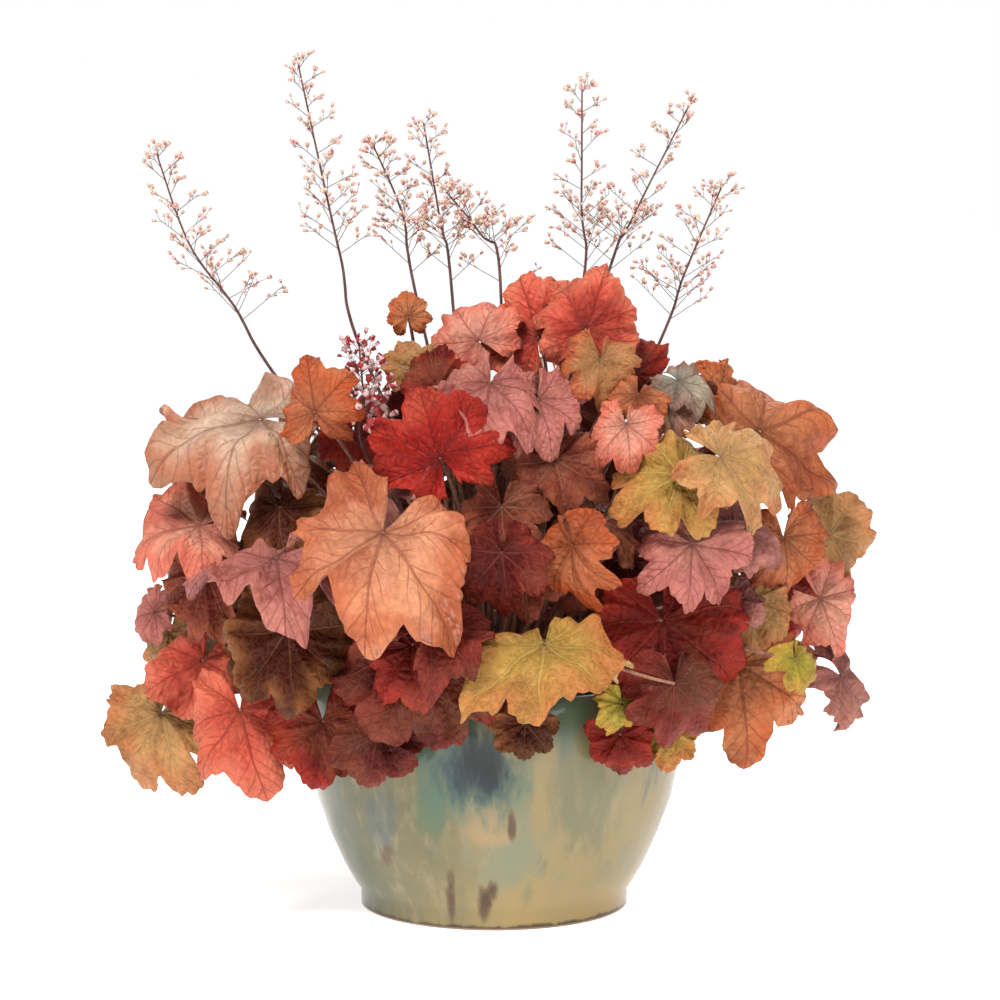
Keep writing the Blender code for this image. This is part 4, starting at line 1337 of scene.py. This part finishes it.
def settle_more(crown, blocked, settled):
    """Places for the leaves that only the fine model has: small seen ones, then deeper ones all round.
    Their petioles may brush past other petioles, and a leaf that finds no room is left out."""
    draw = random.Random(FILLER_SEED)
    wanted = [(leaf, front_pose(leaf)) for leaf in EXTRA_LEAVES]
    wanted += [filler(draw, number) for number in range(FILLER_TRIES)]
    turn = Matrix.Rotation(SPARE_TURN, 3, "Z")
    crown.free += [(turn @ place, turn @ normal) for place, normal in Crown(crown_shape()).free]
    blades = join_shapes(*[blade_shape(one, 0) for one in settled])
    found = []
    for number, (leaf, pose) in enumerate(wanted):
        spare = list(crown.free)
        room = (blocked, SMALL_CLEARANCE)
        placed = settle(leaf, number + MORE_NUMBERS, pose, crown, room, (blades, 0))
        inner = leaf.name.startswith(INNER_NAME)
        if placed is None or (inner and depth_of(placed.hub) > SHALLOWEST):
            crown.free = spare
            continue
        found.append(placed)
        blades = join_shapes(blades, blade_shape(placed, 0))
        blocked = join_shapes(blocked, blade_shape(placed, 0), petiole_shape(placed, 0))
    return found


def twig(start, end, radius):
    direction = (end - start).normalized()
    return tube([start, end], (radius, radius * TWIG_TAPER), TWIG_SIDES, direction)


def bell(base, direction, size):
    """A small flower: a bell with a flared, scalloped mouth, closed inside."""
    side = direction.orthogonal().normalized()
    other = direction.cross(side)
    places = []
    tips = []
    for along, wide in BELL_RINGS:
        for step in range(FLOWER_SIDES):
            angle = math.tau * step / FLOWER_SIDES
            spread = (side * math.cos(angle) + other * math.sin(angle)) * wide * FLOWER_RADIUS
            places.append(base + (direction * along * FLOWER_LENGTH + spread) * size * MM)
            tips.append(along)
    faces = [tuple(reversed(range(FLOWER_SIDES)))]
    end = (len(BELL_RINGS) - 1) * FLOWER_SIDES
    for start in range(0, end, FLOWER_SIDES):
        faces += band(start, start + FLOWER_SIDES, FLOWER_SIDES)
    faces.append(tuple(end + step for step in range(FLOWER_SIDES)))
    return (places, faces), tips


def panicle(stalk, route, plumpness, draw):
    """Side sprays that spiral up the scape, each with short twigs that end in bells and buds."""
    stems = []
    flowers = []
    tips = []
    for number in range(SPRAYS):
        share = (number + SPRAY_JITTER * draw.random()) / SPRAYS
        centre = panicle_place(stalk, route, share)
        angle = number * GOLDEN_ANGLE + FIRST_BRANCH
        rise = SPRAY_RISE * (1 + draw.random())
        outwards = Vector((math.cos(angle), math.sin(angle), rise)).normalized()
        length = stalk.spread * (1 - SPRAY_SHORTENING * share ** SPRAY_POWER)
        length *= SPRAY_LENGTH + SPRAY_VARIETY * draw.random()
        end = centre + outwards * length * MM
        stems.append(twig(centre, end, TWIG_RADIUS))
        for part in range(SPRAY_TWIGS):
            start = centre.lerp(end, FIRST_TWIG + (1 - FIRST_TWIG) * (part + 1) / SPRAY_TWIGS)
            ranges = (PEDICEL_TURN, PEDICEL_TURN, PEDICEL_LIFT)
            turn = Vector([draw.uniform(*limits) for limits in ranges])
            direction = (outwards + turn * TWIG_SPREAD).normalized()
            foot = start + direction * draw.uniform(*PEDICEL_LENGTH) * MM
            stems.append(twig(start, foot, PEDICEL_RADIUS))
            size = (1 + plumpness * (1 - share)) * draw.uniform(*FLOWER_SIZE)
            flower, along = bell(foot, direction, size)
            flowers.append(flower)
            tips += along
    return join_shapes(*stems), join_shapes(*flowers), tips


def make_stalk(stalk, crown, stem_coat, flower_coat, bud_coat, draw):
    route, facing = stalk_route(stalk, crown)
    coarse = join_shapes(scape_shape(route, facing), *panicle_shapes(stalk, route))
    fine_route = smooth_route(route, FINE_SCAPE_STEPS)
    radii = tapered(SCAPE_RADIUS, FINE_TIP_RADIUS, len(fine_route))
    scape = tube(fine_route, radii, FINE_SCAPE_SIDES, facing)
    budded = stalk.name == "stalk_low_budded"
    stems, flowers, tips = panicle(stalk, fine_route, BUD_PLUMPNESS if budded else 0, draw)
    stem = new_piece(stalk.name + "_stem", *join_shapes(scape, stems), stem_coat, "flower_stalk")
    coat = bud_coat if budded else flower_coat
    bells = new_piece(stalk.name + "_flowers", *flowers, coat, "flower_stalk", ("tip", "FLOAT", tips))
    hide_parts(stalk.name)
    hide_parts(stalk.name)
    return coarse


def make_pot():
    """The bowl, turned with more steps, with its drain holes."""
    pot = new_piece("pot_glazed", *turned(pot_profile(), FINE_POT_SEGMENTS), glaze_material(), "pot_glaze")
    for number in range(DRAINS):
        angle = math.tau * number / DRAINS + math.pi / 2
        middle = Vector((math.cos(angle), math.sin(angle), 0)) * DRAIN_CIRCLE * MM
        path = [middle - UP * FLOOR_TOP * MM, middle + UP * 2 * FLOOR_TOP * MM]
        places, faces = tube(path, (DRAIN_RADIUS, DRAIN_RADIUS), FINE_DRAIN_SIDES, UP)
        mesh = bpy.data.meshes.new("drain")
        mesh.from_pydata(places, [], faces)
        drain = bpy.data.objects.new("drain", mesh)
        bpy.context.scene.collection.objects.link(drain)
        cut(pot, drain)
    pot.data.shade_smooth()
    pot.data.set_sharp_from_angle(angle=SHARP_ANGLE)
    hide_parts("pot")


def rough_disc(radius, rings, height_at):
    """An open disc from the middle outwards, each place at the height that height_at gives it."""
    places = []
    for ring in range(rings + 1):
        for step in range(DISC_STEPS):
            angle = math.tau * step / DISC_STEPS
            reach = radius * (ring + DISC_CENTRE) / rings
            flat = Vector((reach * math.cos(angle), reach * math.sin(angle), 0))
            places.append((flat + UP * height_at(flat)) * MM)
    faces = [tuple(range(DISC_STEPS))]
    for ring in range(rings):
        faces += band(ring * DISC_STEPS, (ring + 1) * DISC_STEPS, DISC_STEPS, True)
    return places, faces


def soil_height(flat):
    return SOIL_TOP + SOIL_ROUGHNESS * noise.fractal(flat * SOIL_GRAIN, 1, 2, SOIL_OCTAVES)


def crumb(centre, size, draw):
    """A lump with eight uneven faces."""
    corners = []
    for direction in ((1, 0, 0), (0, 1, 0), (-1, 0, 0), (0, -1, 0), (0, 0, 1), (0, 0, -1)):
        corners.append(centre + Vector(direction) * size * draw.uniform(*CRUMB_UNEVENNESS) * MM)
    faces = []
    for step in range(4):
        following = (step + 1) % 4
        faces.append((step, following, 4))
        faces.append((following, step, 5))
    return corners, faces


def make_soil():
    """The top of the potting mix, and loose crumbs of bark and mix on it."""
    coat = soil_material()
    top = rough_disc(pot_inner(SOIL_TOP) - SOIL_CLEARANCE, SOIL_RINGS, soil_height)
    soil = new_piece("soil_top", *top, coat, "soil")
    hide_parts("soil")
    draw = random.Random(CRUMB_SEED)
    crumbs = []
    for _ in range(CRUMBS):
        angle = draw.uniform(0, math.tau)
        reach = draw.uniform(CROWN_RADIUS, pot_inner(SOIL_TOP) - 3 * SOIL_CLEARANCE)
        flat = Vector((reach * math.cos(angle), reach * math.sin(angle), 0))
        crumbs.append(crumb((flat + UP * soil_height(flat)) * MM, draw.uniform(*CRUMB_SIZE), draw))
    loose = new_piece("soil_crumbs", *join_shapes(*crumbs), coat, "soil")
    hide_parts("soil")


def make_crown():
    """The woody crown: a knobbly dome, lower than the plain one so that the petioles reach into it."""
    bottom = SOIL_TOP - SOIL_ROUGHNESS

    def dome(flat):
        share = min(flat.length / CROWN_RADIUS, 1)
        knobs = CROWN_KNOBS * noise.fractal(flat * CROWN_GRAIN, 1, 2, CROWN_OCTAVES)
        return bottom + (CROWN_HEIGHT + SOIL_ROUGHNESS) * math.sqrt(1 - share ** 2) + knobs

    disc = rough_disc(CROWN_RADIUS, CROWN_FINE_RINGS, dome)
    piece = new_piece("crown_wood", *disc, crown_material(), "crown")
    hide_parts("crown")


def glowing_material(name, colour, glow, roughness=0.5):
    """A plain matt material that gives off white light of its own."""
    shader = Shader(name, roughness, 0)
    shader.surface.inputs["Base Color"].default_value = (*colour, 1)
    shader.surface.inputs["Emission Color"].default_value = (1, 1, 1, 1)
    shader.surface.inputs["Emission Strength"].default_value = glow
    return shader.material


def make_floor():
    bpy.ops.mesh.primitive_plane_add(size=FLOOR_SIZE, location=(0, 0, 0))
    floor = bpy.context.object
    floor.name = "floor"
    floor.data.materials.append(glowing_material("floor_paper", FLOOR_COLOUR, FLOOR_GLOW, FLOOR_ROUGHNESS))


def make_backdrop():
    """A white room round everything, which only the camera sees, so that it lights nothing."""
    bpy.ops.mesh.primitive_uv_sphere_add(
        segments=BACKDROP_SIDES, ring_count=BACKDROP_SIDES // 2, radius=BACKDROP_RADIUS)
    backdrop = bpy.context.object
    backdrop.name = "backdrop"
    backdrop.data.materials.append(glowing_material("backdrop_white", (0, 0, 0), 1))
    backdrop.visible_diffuse = False
    backdrop.visible_glossy = False
    backdrop.visible_shadow = False
    backdrop.visible_transmission = False


def area_light(name, place, size, energy):
    lamp = bpy.data.lights.new(name, "AREA")
    lamp.size = size
    lamp.energy = energy
    made = bpy.data.objects.new(name, lamp)
    made.location = place
    made.rotation_euler = (AIM - Vector(place)).to_track_quat("-Z", "Y").to_euler()
    bpy.context.scene.collection.objects.link(made)


def make_lights():
    world = bpy.data.worlds.new("studio")
    bpy.context.scene.world = world
    world.use_nodes = True
    background = world.node_tree.nodes["Background"]
    background.inputs["Color"].default_value = (1, 1, 1, 1)
    background.inputs["Strength"].default_value = WORLD_STRENGTH
    for lamp in LAMPS:
        area_light(*lamp)


def make_camera():
    lens = bpy.data.cameras.new("camera")
    lens.lens = LENS
    lens.sensor_width = SENSOR
    camera = bpy.data.objects.new("camera", lens)
    camera.location = EYE
    camera.rotation_euler = (AIM - EYE).to_track_quat("-Z", "Y").to_euler()
    bpy.context.scene.collection.objects.link(camera)
    bpy.context.scene.camera = camera
    bpy.context.scene.view_settings.view_transform = "Standard"


def main():
    noise.seed_set(NOISE_SEED)
    make_camera()
    make_lights()
    make_floor()
    make_backdrop()
    make_pot()
    make_soil()
    make_crown()
    crown = Crown(crown_shape())
    blocked = join_shapes(turned(pot_profile(), POT_SEGMENTS), soil_shape())
    stem_coat = stem_material("scape_look", *SCAPE_COLOURS)
    flower_coat = flower_material()
    bud_coat = bud_material()
    draw = random.Random(FLOWER_SEED)
    stalk_shapes = []
    for stalk in STALKS:
        shape = make_stalk(stalk, crown, stem_coat, flower_coat, bud_coat, draw)
        stalk_shapes.append((stalk.name, shape))
        blocked = join_shapes(blocked, shape)
    placed_leaves, blocked = settle_all(crown, blocked)
    check_match(placed_leaves, stalk_shapes)
    petiole_coat = stem_material("petiole_look", *PETIOLE_COLOURS)
    coats = {tone: leaf_material(tone) for tone in PALETTES}
    for placed in placed_leaves:
        make_leaf(placed, coats, petiole_coat, True)
    for placed in settle_more(crown, blocked, placed_leaves):
        make_leaf(placed, coats, petiole_coat, False)


main()
